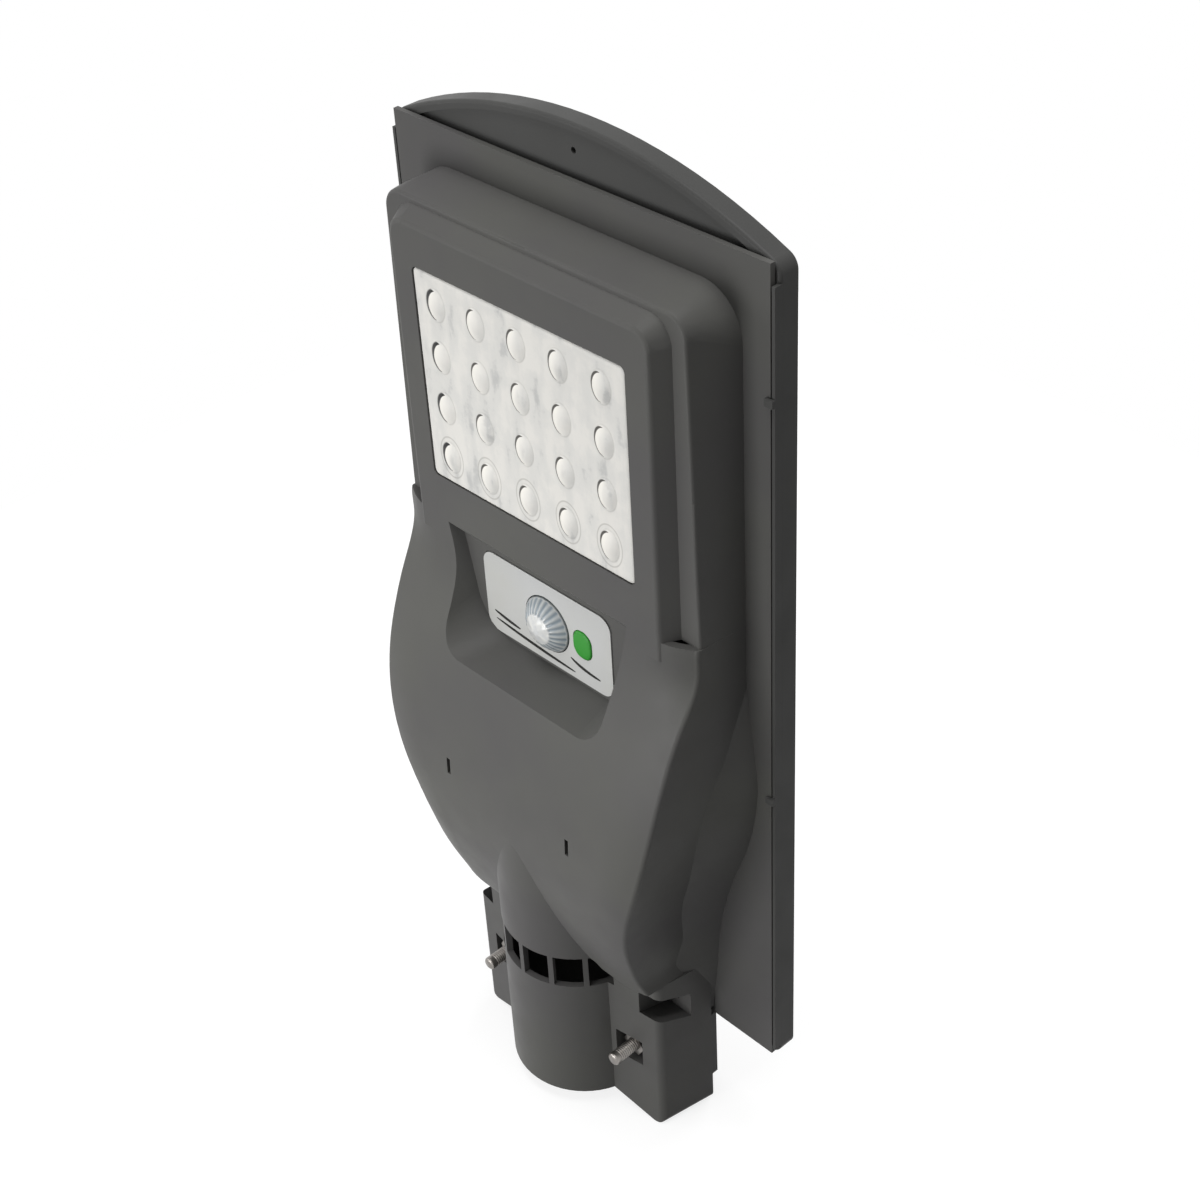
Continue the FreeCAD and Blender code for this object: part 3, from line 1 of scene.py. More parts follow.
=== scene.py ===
import math
import bpy
import numpy as np
from mathutils import Matrix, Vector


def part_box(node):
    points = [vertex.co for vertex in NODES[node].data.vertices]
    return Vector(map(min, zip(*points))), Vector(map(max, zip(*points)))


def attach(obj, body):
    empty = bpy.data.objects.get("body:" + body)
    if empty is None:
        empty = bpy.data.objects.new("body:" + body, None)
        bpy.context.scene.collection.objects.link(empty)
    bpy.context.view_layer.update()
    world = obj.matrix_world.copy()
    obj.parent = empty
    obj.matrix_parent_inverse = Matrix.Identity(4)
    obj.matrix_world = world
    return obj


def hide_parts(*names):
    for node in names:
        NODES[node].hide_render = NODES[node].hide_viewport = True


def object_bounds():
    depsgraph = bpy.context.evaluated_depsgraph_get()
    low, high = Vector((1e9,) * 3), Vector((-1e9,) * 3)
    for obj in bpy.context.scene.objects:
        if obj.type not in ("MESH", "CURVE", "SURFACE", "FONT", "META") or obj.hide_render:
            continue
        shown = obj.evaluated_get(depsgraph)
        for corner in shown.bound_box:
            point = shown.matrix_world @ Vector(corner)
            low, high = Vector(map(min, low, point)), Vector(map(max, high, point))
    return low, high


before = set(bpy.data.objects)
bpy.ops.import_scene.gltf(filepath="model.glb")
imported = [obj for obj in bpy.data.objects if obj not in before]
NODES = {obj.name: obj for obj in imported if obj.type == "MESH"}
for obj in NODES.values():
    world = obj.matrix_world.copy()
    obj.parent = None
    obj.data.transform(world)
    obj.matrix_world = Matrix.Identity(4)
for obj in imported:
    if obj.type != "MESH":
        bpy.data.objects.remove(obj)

CAD_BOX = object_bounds()
MM = 0.001


# Mesh helpers

def grid_faces(rows, columns, closed_columns=False):
    """Quads of a rows x columns grid of points; closed columns join the last column to the first."""
    across = columns if closed_columns else columns - 1
    i, j = np.meshgrid(np.arange(rows - 1), np.arange(across), indexing="ij")
    after = (j + 1) % columns
    corners = [i * columns + j, i * columns + after, (i + 1) * columns + after, (i + 1) * columns + j]
    return np.stack(corners, axis=-1).reshape(-1, 4)


def fan_faces(ring, centre, turned=False):
    """Triangles from a closed ring of point numbers to one centre point."""
    after = np.roll(ring, -1)
    middle = np.full_like(ring, centre)
    order = [after, ring, middle] if turned else [ring, after, middle]
    return np.stack(order, axis=-1)


def closed_tube(painted_shade_rings, first_end, last_end, turned=False):
    """Points, quads and triangles of a tube through rings of points, closed to one point at each end.

    rings has one row for each ring. Where the rings run the other way round, turned keeps the faces outward.
    """
    steps, around = painted_shade_rings.shape[:2]
    size = steps * around
    points = np.concatenate([painted_shade_rings.reshape(-1, 3), np.array([first_end, last_end])])
    quads = grid_faces(steps, around, closed_columns=True)
    first = np.arange(around)
    caps = np.concatenate([fan_faces(first, size, turned=not turned),
                           fan_faces(first + size - around, size + 1, turned=turned)])
    return points, quads[:, ::-1] if turned else quads, caps


def turn_angles(around):
    """Angles of one full turn in even steps, as one row."""
    return np.linspace(0, 2 * math.pi, around, endpoint=False)[None, :]


def smooth_step(value, low, high):
    """0 up to low, 1 from high on, and between them 3 s^2 - 2 s^3 of the share s."""
    share = np.clip((value - low) / (high - low), 0, 1)
    return share * share * (3 - 2 * share)


def piece(name, points, quads=None, triangles=None, smooth=True, values=None):
    """Mesh object at the origin from an array of points and arrays of quads and triangles.

    values maps an attribute's name to one number for each point.
    """
    points = np.asarray(points, dtype=np.float32).reshape(-1, 3)
    blocks = [block for block in (quads, triangles) if block is not None and len(block)]
    counts = np.concatenate([np.full(len(block), block.shape[1]) for block in blocks])
    corners = np.concatenate([block.reshape(-1) for block in blocks])
    starts = np.concatenate([[0], np.cumsum(counts)[:-1]])
    mesh = bpy.data.meshes.new(name)
    mesh.vertices.add(len(points))
    mesh.vertices.foreach_set("co", points.reshape(-1))
    mesh.loops.add(len(corners))
    mesh.loops.foreach_set("vertex_index", corners.astype(np.int32))
    mesh.polygons.add(len(counts))
    mesh.polygons.foreach_set("loop_start", starts.astype(np.int32))
    mesh.polygons.foreach_set("use_smooth", np.full(len(counts), smooth))
    mesh.update(calc_edges=True)
    for key, numbers in (values or {}).items():
        layer = mesh.attributes.new(key, "FLOAT", "POINT")
        layer.data.foreach_set("value", np.asarray(numbers, dtype=np.float32).reshape(-1))
    mesh.validate()
    thing = bpy.data.objects.new(name, mesh)
    bpy.context.scene.collection.objects.link(thing)
    return thing


def join(parts):
    """One list of points, quads and triangles from several (points, quads, triangles)."""
    points, quads, triangles, base = [], [], [], 0
    for part_points, part_quads, part_triangles in parts:
        points.append(part_points)
        quads.append(part_quads + base)
        triangles.append(part_triangles + base)
        base += len(part_points)
    return np.concatenate(points), np.concatenate(quads), np.concatenate(triangles)


# Material helpers

def srgb(red, green, blue):
    """Linear colour of a display colour given in 0 to 255."""
    share = np.array([red, green, blue]) / 255
    linear = np.where(share <= 0.04045, share / 12.92, ((share + 0.055) / 1.055) ** 2.4)
    return (*[float(part) for part in linear], 1.0)


class Finish:
    """A material with one Principled shader and short calls for its nodes."""

    def __init__(self, name, **sockets):
        self.material = bpy.data.materials.new(name)
        self.material.use_nodes = True
        self.nodes = self.material.node_tree.nodes
        self.links = self.material.node_tree.links
        self.shader = self.nodes["Principled BSDF"]
        self.place = self.nodes.new("ShaderNodeTexCoord").outputs["Object"]
        for key, value in sockets.items():
            self.shader.inputs[key.replace("_", " ")].default_value = value

    def feed(self, socket, value):
        """Gives a socket a value or another node's output."""
        if isinstance(value, bpy.types.NodeSocket):
            self.links.new(value, socket)
        else:
            socket.default_value = value

    def node(self, kind, settings=None, **inputs):
        """New node; inputs are sockets by name, or by number as i0, i1 and so on."""
        made = self.nodes.new(kind)
        for key, value in (settings or {}).items():
            setattr(made, key, value)
        for key, value in inputs.items():
            numbered = key[0] == "i" and key[1:].isdigit()
            self.feed(made.inputs[int(key[1:]) if numbered else key], value)
        return made

    def noise(self, scale, detail=2.0, roughness=0.5, vector=None):
        """Noise from 0 to 1 at a scale in lumps per metre."""
        return self.node("ShaderNodeTexNoise", Vector=vector or self.place, Scale=scale, Detail=detail,
                         Roughness=roughness).outputs["Fac"]

    def stretched(self, x, y, z):
        """Object coordinates stretched along each axis."""
        return self.node("ShaderNodeMapping", Vector=self.place, Scale=(x, y, z)).outputs["Vector"]

    def math(self, operation, first, second=0.0, clamp=False):
        """One sum of two values."""
        return self.node("ShaderNodeMath", {"operation": operation, "use_clamp": clamp}, i0=first,
                         i1=second).outputs[0]

    def plus(self, first, second):
        return self.math("ADD", first, second)

    def minus(self, first, second):
        return self.math("SUBTRACT", first, second)

    def times(self, first, second):
        return self.math("MULTIPLY", first, second)

    def size_of(self, value):
        return self.math("ABSOLUTE", value)

    def below(self, value, limit):
        """1 where the value is below the limit, and 0 elsewhere."""
        return self.math("LESS_THAN", value, limit)

    def above(self, value, limit):
        """1 where the value is above the limit, and 0 elsewhere."""
        return self.math("GREATER_THAN", value, limit)

    def ramp(self, value, stops):
        """Colour by value; stops are (value, colour)."""
        made = self.node("ShaderNodeValToRGB", Fac=value)
        made.color_ramp.interpolation = "EASE"
        points = made.color_ramp.elements
        while len(points) < len(stops):
            points.new(0.5)
        for point, (place, colour) in zip(points, stops):
            point.position = place
            point.color = colour
        return made.outputs["Color"]

    def span(self, value, low, high, to_low, to_high):
        """Value mapped from one range to another, and held at its ends."""
        return self.node("ShaderNodeMapRange", Value=value, i1=low, i2=high, i3=to_low, i4=to_high).outputs[0]

    def mix(self, share, first, second):
        """Colour between two colours."""
        made = self.node("ShaderNodeMix", {"data_type": "RGBA"}, i0=share, i6=first, i7=second)
        return made.outputs[2]

    def value_of(self, name):
        """A number that the mesh carries at each point."""
        return self.node("ShaderNodeAttribute", {"attribute_name": name}).outputs["Fac"]

    def axes(self):
        """Object coordinates across and up."""
        across, _, up = self.node("ShaderNodeSeparateXYZ", Vector=self.place).outputs
        return across, up

    def colour(self, output):
        self.links.new(output, self.shader.inputs["Base Color"])

    def roughness(self, output):
        self.links.new(output, self.shader.inputs["Roughness"])

    def bump(self, height, distance):
        """Bump of a height from 0 to 1 that is a distance deep, in metres."""
        made = self.node("ShaderNodeBump", Height=height, Distance=distance)
        self.links.new(made.outputs["Normal"], self.shader.inputs["Normal"])


def moulded(name, colour, deep, roughness=0.5, grain=0.00002, gloss=0.5):
    """Moulded plastic: slow shade change, fine spark-eroded grain and a soft sheen that varies a little."""
    finish = Finish(name, Roughness=roughness, Specular_IOR_Level=gloss)
    cloud = finish.noise(14, detail=4)
    finish.colour(finish.ramp(cloud, [(0.3, deep), (0.7, colour)]))
    finish.roughness(finish.span(finish.noise(60, detail=3), 0.3, 0.7, roughness - 0.05, roughness + 0.05))
    finish.bump(finish.noise(2600, detail=2), grain)
    return finish


def metal(name, colour, deep, roughness=0.3):
    """Metal with fine drawn lines and dull spots."""
    finish = Finish(name, Metallic=1.0, Roughness=roughness)
    lines = finish.noise(1.0, detail=3, vector=finish.stretched(900, 60, 60))
    finish.colour(finish.ramp(finish.noise(220, detail=4), [(0.35, deep), (0.65, colour)]))
    finish.roughness(finish.span(lines, 0.3, 0.7, roughness - 0.08, roughness + 0.1))
    finish.bump(lines, 0.00001)
    return finish


# Finishes

housing = moulded("housing_plastic", srgb(86, 86, 83), srgb(82, 81, 81), roughness=0.46, gloss=0.1)
# The tray's plastic is the housing's plastic made darker as painted shade, for the tray standing further back
# than the head
tray_with_painted_shade = moulded("tray_plastic_painted_shade", srgb(72, 72, 71), srgb(68, 68, 67), roughness=0.45, gloss=0.1)
saddle = moulded("saddle_plastic", srgb(80, 80, 79), srgb(75, 75, 75), roughness=0.48, gloss=0.1)
inner = moulded("inner_plastic", srgb(52, 52, 53), srgb(44, 44, 45), roughness=0.55)
rubber = moulded("gasket_rubber", srgb(38, 38, 38), srgb(30, 30, 30), roughness=0.75)
foam = moulded("seal_foam", srgb(46, 46, 46), srgb(34, 34, 34), roughness=0.9, grain=0.00008)
cover = moulded("cover_plastic", srgb(190, 191, 191), srgb(185, 185, 179), roughness=0.4, gloss=0.25)
button_green = moulded("button_plastic", srgb(52, 142, 50), srgb(46, 134, 44), roughness=0.4, gloss=0.2)
ink = moulded("stroke_ink", srgb(42, 42, 40), srgb(34, 34, 32), roughness=0.6, gloss=0.15)
strap_cloth = moulded("strap_web", srgb(60, 60, 62), srgb(46, 46, 48), roughness=0.85, grain=0.0001)
electronic = moulded("part_casing", srgb(46, 48, 52), srgb(36, 38, 42), roughness=0.45)
steel = metal("screw_steel", srgb(190, 190, 192), srgb(160, 160, 164), roughness=0.32)
bolt_steel = metal("bolt_steel", srgb(154, 150, 146), srgb(130, 126, 122), roughness=0.34)
can_metal = metal("can_metal", srgb(200, 196, 184), srgb(176, 170, 158), roughness=0.28)
cell_wrap = moulded("cell_wrap", srgb(40, 92, 150), srgb(30, 78, 132), roughness=0.35)


def board(name, solder, deep):
    """Circuit board: lacquer with faint tracks that run square to each other."""
    finish = Finish(name, Roughness=0.4)
    across = finish.noise(1.0, detail=1, vector=finish.stretched(40, 40, 420))
    up = finish.noise(1.0, detail=1, vector=finish.stretched(420, 40, 40))
    tracks = finish.math("MAXIMUM", finish.above(across, 0.6), finish.above(up, 0.62))
    finish.colour(finish.mix(tracks, deep, solder))
    finish.bump(tracks, 0.00003)
    return finish


green_board = board("sensor_board_lacquer", srgb(34, 104, 58), srgb(26, 84, 46))
white_board = board("led_board_lacquer", srgb(226, 226, 222), srgb(214, 214, 210))


def led_finish():
    """LED: a pale yellow phosphor, cloudy at a small scale."""
    finish = Finish("led_phosphor", Roughness=0.4)
    cloud = finish.noise(900, detail=3)
    finish.colour(finish.ramp(cloud, [(0.3, srgb(232, 206, 104)), (0.7, srgb(240, 222, 140))]))
    return finish


led = led_finish()

PANEL_LOW, PANEL_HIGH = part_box("solar_panel")
PANEL_COLUMNS, PANEL_ROWS, PANEL_EDGE = 3, 6, 6 * MM
CELL_GAP_HALF, CELL_CUT = 0.9 * MM, 6 * MM
FINGER_PITCH, FINGER_SHARE, BAR_HALF = 2.1 * MM, 0.09, 0.7 * MM


def panel_finish():
    """Solar glass: dark blue cells in a grid with gaps, cut corners, busbars and fine finger lines."""
    finish = Finish("panel_cells", Roughness=0.12, Coat_Weight=0.6, Coat_Roughness=0.05)
    across, up = finish.axes()
    panel_wide, panel_tall = PANEL_HIGH[0] - PANEL_LOW[0], PANEL_HIGH[2] - PANEL_LOW[2]
    wide = (panel_wide - 2 * PANEL_EDGE) / PANEL_COLUMNS
    tall = (panel_tall - 2 * PANEL_EDGE) / PANEL_ROWS

    def cell_place(value, low, pitch):
        """Distance in metres from the middle of the cell, along one direction."""
        share = finish.math("FRACT", finish.math("DIVIDE", finish.minus(value, low + PANEL_EDGE), pitch))
        return finish.times(finish.size_of(finish.minus(share, 0.5)), pitch)

    from_x = cell_place(across, PANEL_LOW[0], wide)
    from_z = cell_place(up, PANEL_LOW[2], tall)
    in_x = finish.below(from_x, wide / 2 - CELL_GAP_HALF)
    in_z = finish.below(from_z, tall / 2 - CELL_GAP_HALF)
    uncut = finish.below(finish.plus(from_x, from_z), (wide + tall) / 2 - CELL_CUT)
    field_x = finish.below(finish.size_of(across), panel_wide / 2 - PANEL_EDGE)
    off_middle = finish.size_of(finish.minus(up, (PANEL_HIGH[2] + PANEL_LOW[2]) / 2))
    field_z = finish.below(off_middle, panel_tall / 2 - PANEL_EDGE)
    inside = finish.times(field_x, field_z)
    cell = finish.times(finish.times(in_x, in_z), finish.times(uncut, inside))
    crystal = finish.node("ShaderNodeTexVoronoi", Vector=finish.place, Scale=240.0).outputs["Color"]
    cloud = finish.ramp(finish.noise(30, detail=3), [(0.3, srgb(16, 24, 52)), (0.7, srgb(24, 36, 72))])
    blue = finish.mix(0.2, cloud, finish.mix(crystal, srgb(14, 22, 50), srgb(40, 56, 104)))
    fingers = finish.below(finish.math("FRACT", finish.times(up, 1 / FINGER_PITCH)), FINGER_SHARE)
    from_bar = finish.size_of(finish.minus(from_x, wide / 6))
    bars = finish.times(finish.below(from_bar, BAR_HALF), inside)
    silver = srgb(176, 180, 186)
    lined = finish.mix(finish.times(fingers, 0.35), blue, silver)
    cells = finish.mix(cell, srgb(34, 36, 42), lined)
    finish.colour(finish.mix(bars, cells, silver))
    return finish


panel = panel_finish()

DOME_PITCH, DOME_COLUMNS, DOME_ROWS = 21.8 * MM, 5, 4
DOME_HALF_X, DOME_HALF_Z, DOME_TALL = 5.0 * MM, 6.8 * MM, 1.5 * MM
LENS_LOW, LENS_HIGH = (np.array(corner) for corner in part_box("led_lens_plate"))
LENS_MIDDLE = (LENS_LOW + LENS_HIGH) / 2
# Places and widths of the painted shade lines round a dome (crescents and ring lines), in shares of its half
# size
CRESCENT_PLACE, CRESCENT_WIDE, CRESCENT_WIDER = 0.86, 0.17, 0.12
RING_PLACE, RING_WIDE, RING_SHARE = 1.0, 0.07, 0.22
OUTER_RING_PLACE, OUTER_RING_WIDE, OUTER_RING_SHARE = 1.3, 0.08, 0.45


def lens_finish():
    """Clear lens plate over the bright board: pale with cloudy streaks, and painted shade and light on its
    domes.

    From each dome's middle the place is measured in shares of its half width and half height. Painted shade
    darkens the dome edge on one side in crescents, which are wider and darker in the first column. A faint
    line of painted shade goes round each dome, and a second one further out in the lowest row. Painted light
    brightens each dome just inside its dark edge and fades across it.
    """
    finish = Finish("lens_clear", Roughness=0.5, IOR=1.49, Specular_IOR_Level=0.25)
    across, up = finish.axes()

    def from_dome(value, middle, count, half):
        """Shares of a dome's half size from its middle, its number, and 1 within the field of domes."""
        from_edge = finish.minus(value, middle - count * DOME_PITCH / 2)
        places = finish.math("DIVIDE", from_edge, DOME_PITCH)
        off = finish.minus(finish.math("FRACT", places), 0.5)
        within = finish.below(finish.size_of(finish.minus(places, count / 2)), count / 2)
        return finish.times(off, DOME_PITCH / half), finish.math("FLOOR", places), within

    off_x, column, within_x = from_dome(across, LENS_MIDDLE[0], DOME_COLUMNS, DOME_HALF_X)
    off_z, row, within_z = from_dome(up, LENS_MIDDLE[2], DOME_ROWS, DOME_HALF_Z)
    within = finish.times(within_x, within_z)
    out = finish.math("SQRT", finish.plus(finish.times(off_x, off_x), finish.times(off_z, off_z)))

    def line(place, width):
        """1 on the oval at that share of the dome's size, falling to 0 a width away from it."""
        apart = finish.size_of(finish.minus(out, place))
        return finish.times(finish.span(apart, 0.0, width, 1.0, 0.0), within)

    # Painted shade: a dark crescent on one side of each dome's edge, wider and darker in the first column
    side = finish.span(finish.math("DIVIDE", off_x, out), -0.9, 0.05, 1.0, 0.0)
    first = finish.below(column, 0.5)
    wide = finish.plus(finish.times(first, CRESCENT_WIDER), CRESCENT_WIDE)
    painted_shade_crescent = line(CRESCENT_PLACE, finish.times(wide, side))
    dark = finish.mix(first, srgb(66, 64, 60), srgb(12, 12, 12))
    lowest = finish.below(row, 0.5)
    # Painted shade: a faint dark line round each dome, and a second one further out in the lowest row
    painted_shade_outer_ring = finish.times(line(OUTER_RING_PLACE, OUTER_RING_WIDE), lowest)
    painted_shade_rings = finish.plus(finish.times(line(RING_PLACE, RING_WIDE), RING_SHARE),
                        finish.times(painted_shade_outer_ring, OUTER_RING_SHARE))
    # Painted light: each dome brighter just inside its shaded edge, fading across it
    painted_light_side = finish.span(off_x, -0.3, 0.55, 1.0, 0.0)
    painted_light_share = finish.times(finish.times(painted_light_side, finish.span(out, 0.8, 0.95, 1.0, 0.0)), within)

    streak = finish.noise(1.0, detail=4, vector=finish.stretched(150, 240, 40))
    smudge = finish.noise(70, detail=5, roughness=0.65)
    cloud = finish.times(streak, smudge)
    pale = finish.ramp(cloud, [(0.13, srgb(186, 186, 184)), (0.21, srgb(211, 210, 206)),
                               (0.34, srgb(220, 218, 213))])
    pale_with_painted_light = finish.mix(finish.times(painted_light_share, 0.9), pale, srgb(236, 233, 226))
    ringed = finish.mix(painted_shade_rings, pale_with_painted_light, srgb(126, 122, 114))
    # The painted shade crescents darken the colour last
    finish.colour(finish.mix(finish.math("MULTIPLY", painted_shade_crescent, 2.5, clamp=True), ringed, dark))
    finish.roughness(finish.span(smudge, 0.3, 0.7, 0.42, 0.58))
    return finish


lens = lens_finish()


def sensor_dome_finish():
    """Milky sensor dome: white in its middle, bluish grey in the fluted ring, and dark at its foot.

    The mesh carries flute, the ring's grey with painted shade that deepens in the grooves, and foot, how near
    the foot is.
    """
    finish = Finish("sensor_dome", Roughness=0.22, Coat_Weight=0.2, Specular_IOR_Level=0.4)
    cloudy = finish.noise(420, detail=3)
    milk = finish.ramp(cloudy, [(0.3, srgb(196, 198, 198)), (0.7, srgb(212, 212, 208))])
    # Bluish grey over the fluted ring, deeper in the grooves as painted shade
    ring_grey_and_groove_shade = finish.mix(finish.value_of("flute"), milk, srgb(122, 134, 142))
    finish.colour(finish.mix(finish.value_of("foot"), ring_grey_and_groove_shade, srgb(70, 78, 80)))
    finish.bump(finish.noise(900), 0.00003)
    return finish


sensor_dome = sensor_dome_finish()

FINISHES = {
    "front_housing": housing, "solar_frame": tray_with_painted_shade, "clamp_saddle": saddle, "solar_panel": panel,
    "panel_seal": foam, "panel_terminal_box": inner, "battery_holder": inner, "led_lens_plate": lens,
    "lens_gasket": rubber, "led_board": white_board, "led_chips": led, "led_board_screws": steel,
    "sensor_board_screws": steel, "battery_holder_screws": steel, "controller_screws": steel,
    "sensor_cover": cover, "pir_lens": sensor_dome, "pir_detector": can_metal, "power_button": button_green,
    "push_switch": electronic, "sensor_board": green_board, "battery_cells": cell_wrap,
    "battery_strap": strap_cloth, "controller_board": green_board, "controller_parts": electronic,
    "clamp_bolts": bolt_steel, "clamp_nuts": bolt_steel, "clamp_washers": bolt_steel,
}
for node, finish in FINISHES.items():
    for place in NODES[node].material_slots:
        place.material = finish.material


# Pieces

def add(thing, node, finish, body="lamp", stands_for=True):
    """Gives a new piece its finish and its body, and hides the node that it stands for where stands_for is
    true.
    """
    thing.data.materials.append(finish.material)
    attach(thing, body)
    if stands_for:
        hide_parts(node)


LENS_CORNER, LENS_EDGE, LENS_EDGE_DEEP = 2.5 * MM, 2.2 * MM, 0.8 * MM
LENS_ROWS, LENS_COLUMNS = 180, 240
# The ditch round a dome: its depth, and its place and width in shares of the dome's half size
DITCH_DEEP, DITCH_PLACE, DITCH_WIDE = 0.1 * MM, 1.06, 0.07


def edge_steps(half, fine, count):
    """Places from -half to half, close together at both ends."""
    near = half - fine * np.array([0, 0.08, 0.2, 0.36, 0.55, 0.78])
    level = np.linspace(-(half - fine), half - fine, count)
    return np.concatenate([-near, level, near[::-1]])


def lens_plate():
    """Plate with domes: a height field over a rounded rectangle, closed by a flat back.

    A point's place across is its share of the half width at its height, and the half width follows the
    corner arcs. The face is level and falls in a quarter oval at the edges. A dome is oval and rises by one
    less the square of the share of the way to its edge, and a shallow ditch goes round it.
    """
    half_x, _, half_z = (LENS_HIGH - LENS_LOW) / 2
    face = LENS_LOW[1] + DOME_TALL
    up = edge_steps(half_z, LENS_EDGE, LENS_ROWS)
    share = edge_steps(half_x, LENS_EDGE, LENS_COLUMNS) / half_x
    past = np.clip(np.abs(up) - (half_z - LENS_CORNER), 0, LENS_CORNER)
    width = half_x - LENS_CORNER + np.sqrt(np.clip(LENS_CORNER ** 2 - past ** 2, 0, None))
    x = share[None, :] * width[:, None]
    z = np.repeat(up[:, None], len(share), axis=1)
    off_x = np.abs(x) - (half_x - LENS_CORNER)
    off_z = np.abs(z) - (half_z - LENS_CORNER)
    corner = np.hypot(np.clip(off_x, 0, None), np.clip(off_z, 0, None))
    inset = np.clip(LENS_CORNER - corner - np.minimum(np.maximum(off_x, off_z), 0), 0, LENS_EDGE)
    fall = LENS_EDGE_DEEP * (1 - np.sqrt(np.clip(1 - (1 - inset / LENS_EDGE) ** 2, 0, None)))

    def from_dome(value, count):
        """Distance from the middle of the nearest dome, along one direction."""
        last = (count - 1) / 2
        return value - np.clip(np.round(value / DOME_PITCH + last) - last, -last, last) * DOME_PITCH

    out = np.hypot(from_dome(x, DOME_COLUMNS) / DOME_HALF_X, from_dome(z, DOME_ROWS) / DOME_HALF_Z)
    bulge = DOME_TALL * np.clip(1 - out ** 2, 0, None)
    ditch = DITCH_DEEP * np.exp(-((out - DITCH_PLACE) / DITCH_WIDE) ** 2)
    y = face + fall - bulge + ditch
    front = np.stack([x, y, z + LENS_MIDDLE[2]], axis=-1).reshape(-1, 3)
    behind = np.stack([x, np.full_like(x, LENS_HIGH[1]), z + LENS_MIDDLE[2]], axis=-1).reshape(-1, 3)
    rows, columns = x.shape
    size = rows * columns
    faces = grid_faces(rows, columns)
    number = np.arange(size).reshape(rows, columns)
    rim = np.concatenate([number[0, :-1], number[:-1, -1], number[-1, :0:-1], number[:0:-1, 0]])
    after = np.roll(rim, -1)
    wall = np.stack([after, rim, rim + size, after + size], axis=-1)
    quads = np.concatenate([faces, faces[:, ::-1] + size, wall])
    return piece("lens_plate", np.concatenate([front, behind]), quads)


add(lens_plate(), "led_lens_plate", lens)

PIR_LOW, PIR_HIGH = (np.array(corner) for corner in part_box("pir_lens"))
PIR_TALL, PIR_FLUTES, PIR_FLUTE_DEEP = 6.6 * MM, 24, 0.35 * MM
PIR_RINGS, PIR_STEPS_A_FLUTE = 44, 12


def sensor_dome_piece():
    """Sensor dome: a slice of a ball in polar rings, on a round skirt that a flat back closes.

    In the outer ring the face dips towards the ball's middle in flutes, as the square of a sine of the angle.
    The inner ring has six shallow facets, which dip in the same way.
    """
    radius = (PIR_HIGH[0] - PIR_LOW[0]) / 2
    middle = (PIR_HIGH[2] + PIR_LOW[2]) / 2
    ball = (radius ** 2 + PIR_TALL ** 2) / (2 * PIR_TALL)
    angle = turn_angles(PIR_FLUTES * PIR_STEPS_A_FLUTE)
    out = np.linspace(1, 0.02, PIR_RINGS)[:, None]
    ring = smooth_step(out, 0.5, 0.56) * (1 - smooth_step(out, 0.93, 0.99))
    core = smooth_step(out, 0.1, 0.3) * (1 - smooth_step(out, 0.46, 0.52))
    groove = np.sin(angle * PIR_FLUTES / 2) ** 2
    dip = PIR_FLUTE_DEEP * (ring * groove + 0.5 * core * np.cos(angle * 3) ** 2)
    x = radius * out * np.cos(angle)
    z = middle + radius * out * np.sin(angle)
    y = PIR_LOW[1] + ball - np.sqrt(ball ** 2 - (radius * out) ** 2) + dip
    dome = np.stack([x, y, z], axis=-1)
    foot = dome[:1].copy()
    foot[..., 1] = PIR_HIGH[1]
    back_end, front_end = [0.0, PIR_HIGH[1], middle], [0.0, PIR_LOW[1], middle]
    shape = closed_tube(np.concatenate([foot, dome]), back_end, front_end)
    level = np.zeros_like(angle)
    # Painted shade: the ring's bluish grey deepens with the depth of each groove
    flute = np.concatenate([level, ring * (0.35 + 0.65 * groove)])
    dark = np.concatenate([level + 1, smooth_step(out, 0.955, 0.985) + level])
    pad = np.zeros(2)
    values = {key: np.concatenate([numbers.reshape(-1), pad])
              for key, numbers in (("flute", flute), ("foot", dark))}
    return piece("sensor_dome", *shape, values=values)


add(sensor_dome_piece(), "pir_lens", sensor_dome)

COVER_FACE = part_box("sensor_cover")[0][1]
STROKE_HALF, STROKE_RISE = 0.8 * MM, 0.12 * MM
# Start, bend and end of each stroke, as x and z in millimetres
STROKES = [((-32.0, 226.8), (-24.5, 225.2), (-16.7, 224.7)), ((-31.3, 223.2), (-9.0, 220.6), (14.8, 220.0)),
           ((12.5, 226.2), (18.5, 223.4), (29.2, 223.3))]


def stroke(start, bend, end, steps=40, around=10):
    """Raised stroke on the cover's face: a flat oval along a parabola, drawn in to a point at both ends.

    The parabola goes from start to end and leaves them towards bend.
    """
    t = np.linspace(0.004, 0.996, steps)[:, None]
    start, bend, end = (np.array(place) * MM for place in (start, bend, end))
    path = (1 - t) ** 2 * start + 2 * t * (1 - t) * bend + t ** 2 * end
    ahead = 2 * (1 - t) * (bend - start) + 2 * t * (end - bend)
    ahead = ahead / np.linalg.norm(ahead, axis=1, keepdims=True)
    thin = np.sqrt(np.sin(math.pi * t)) ** 0.6
    angle = turn_angles(around)
    wide = STROKE_HALF * thin * np.cos(angle)
    x = path[:, :1] - ahead[:, 1:] * wide
    z = path[:, 1:] + ahead[:, :1] * wide
    y = COVER_FACE - STROKE_RISE * thin * np.sin(angle)
    return closed_tube(np.stack([x, y, z], axis=-1), [start[0], COVER_FACE, start[1]],
                       [end[0], COVER_FACE, end[1]])


add(piece("cover_strokes", *join([stroke(*places) for places in STROKES])), "sensor_cover", ink,
    stands_for=False)

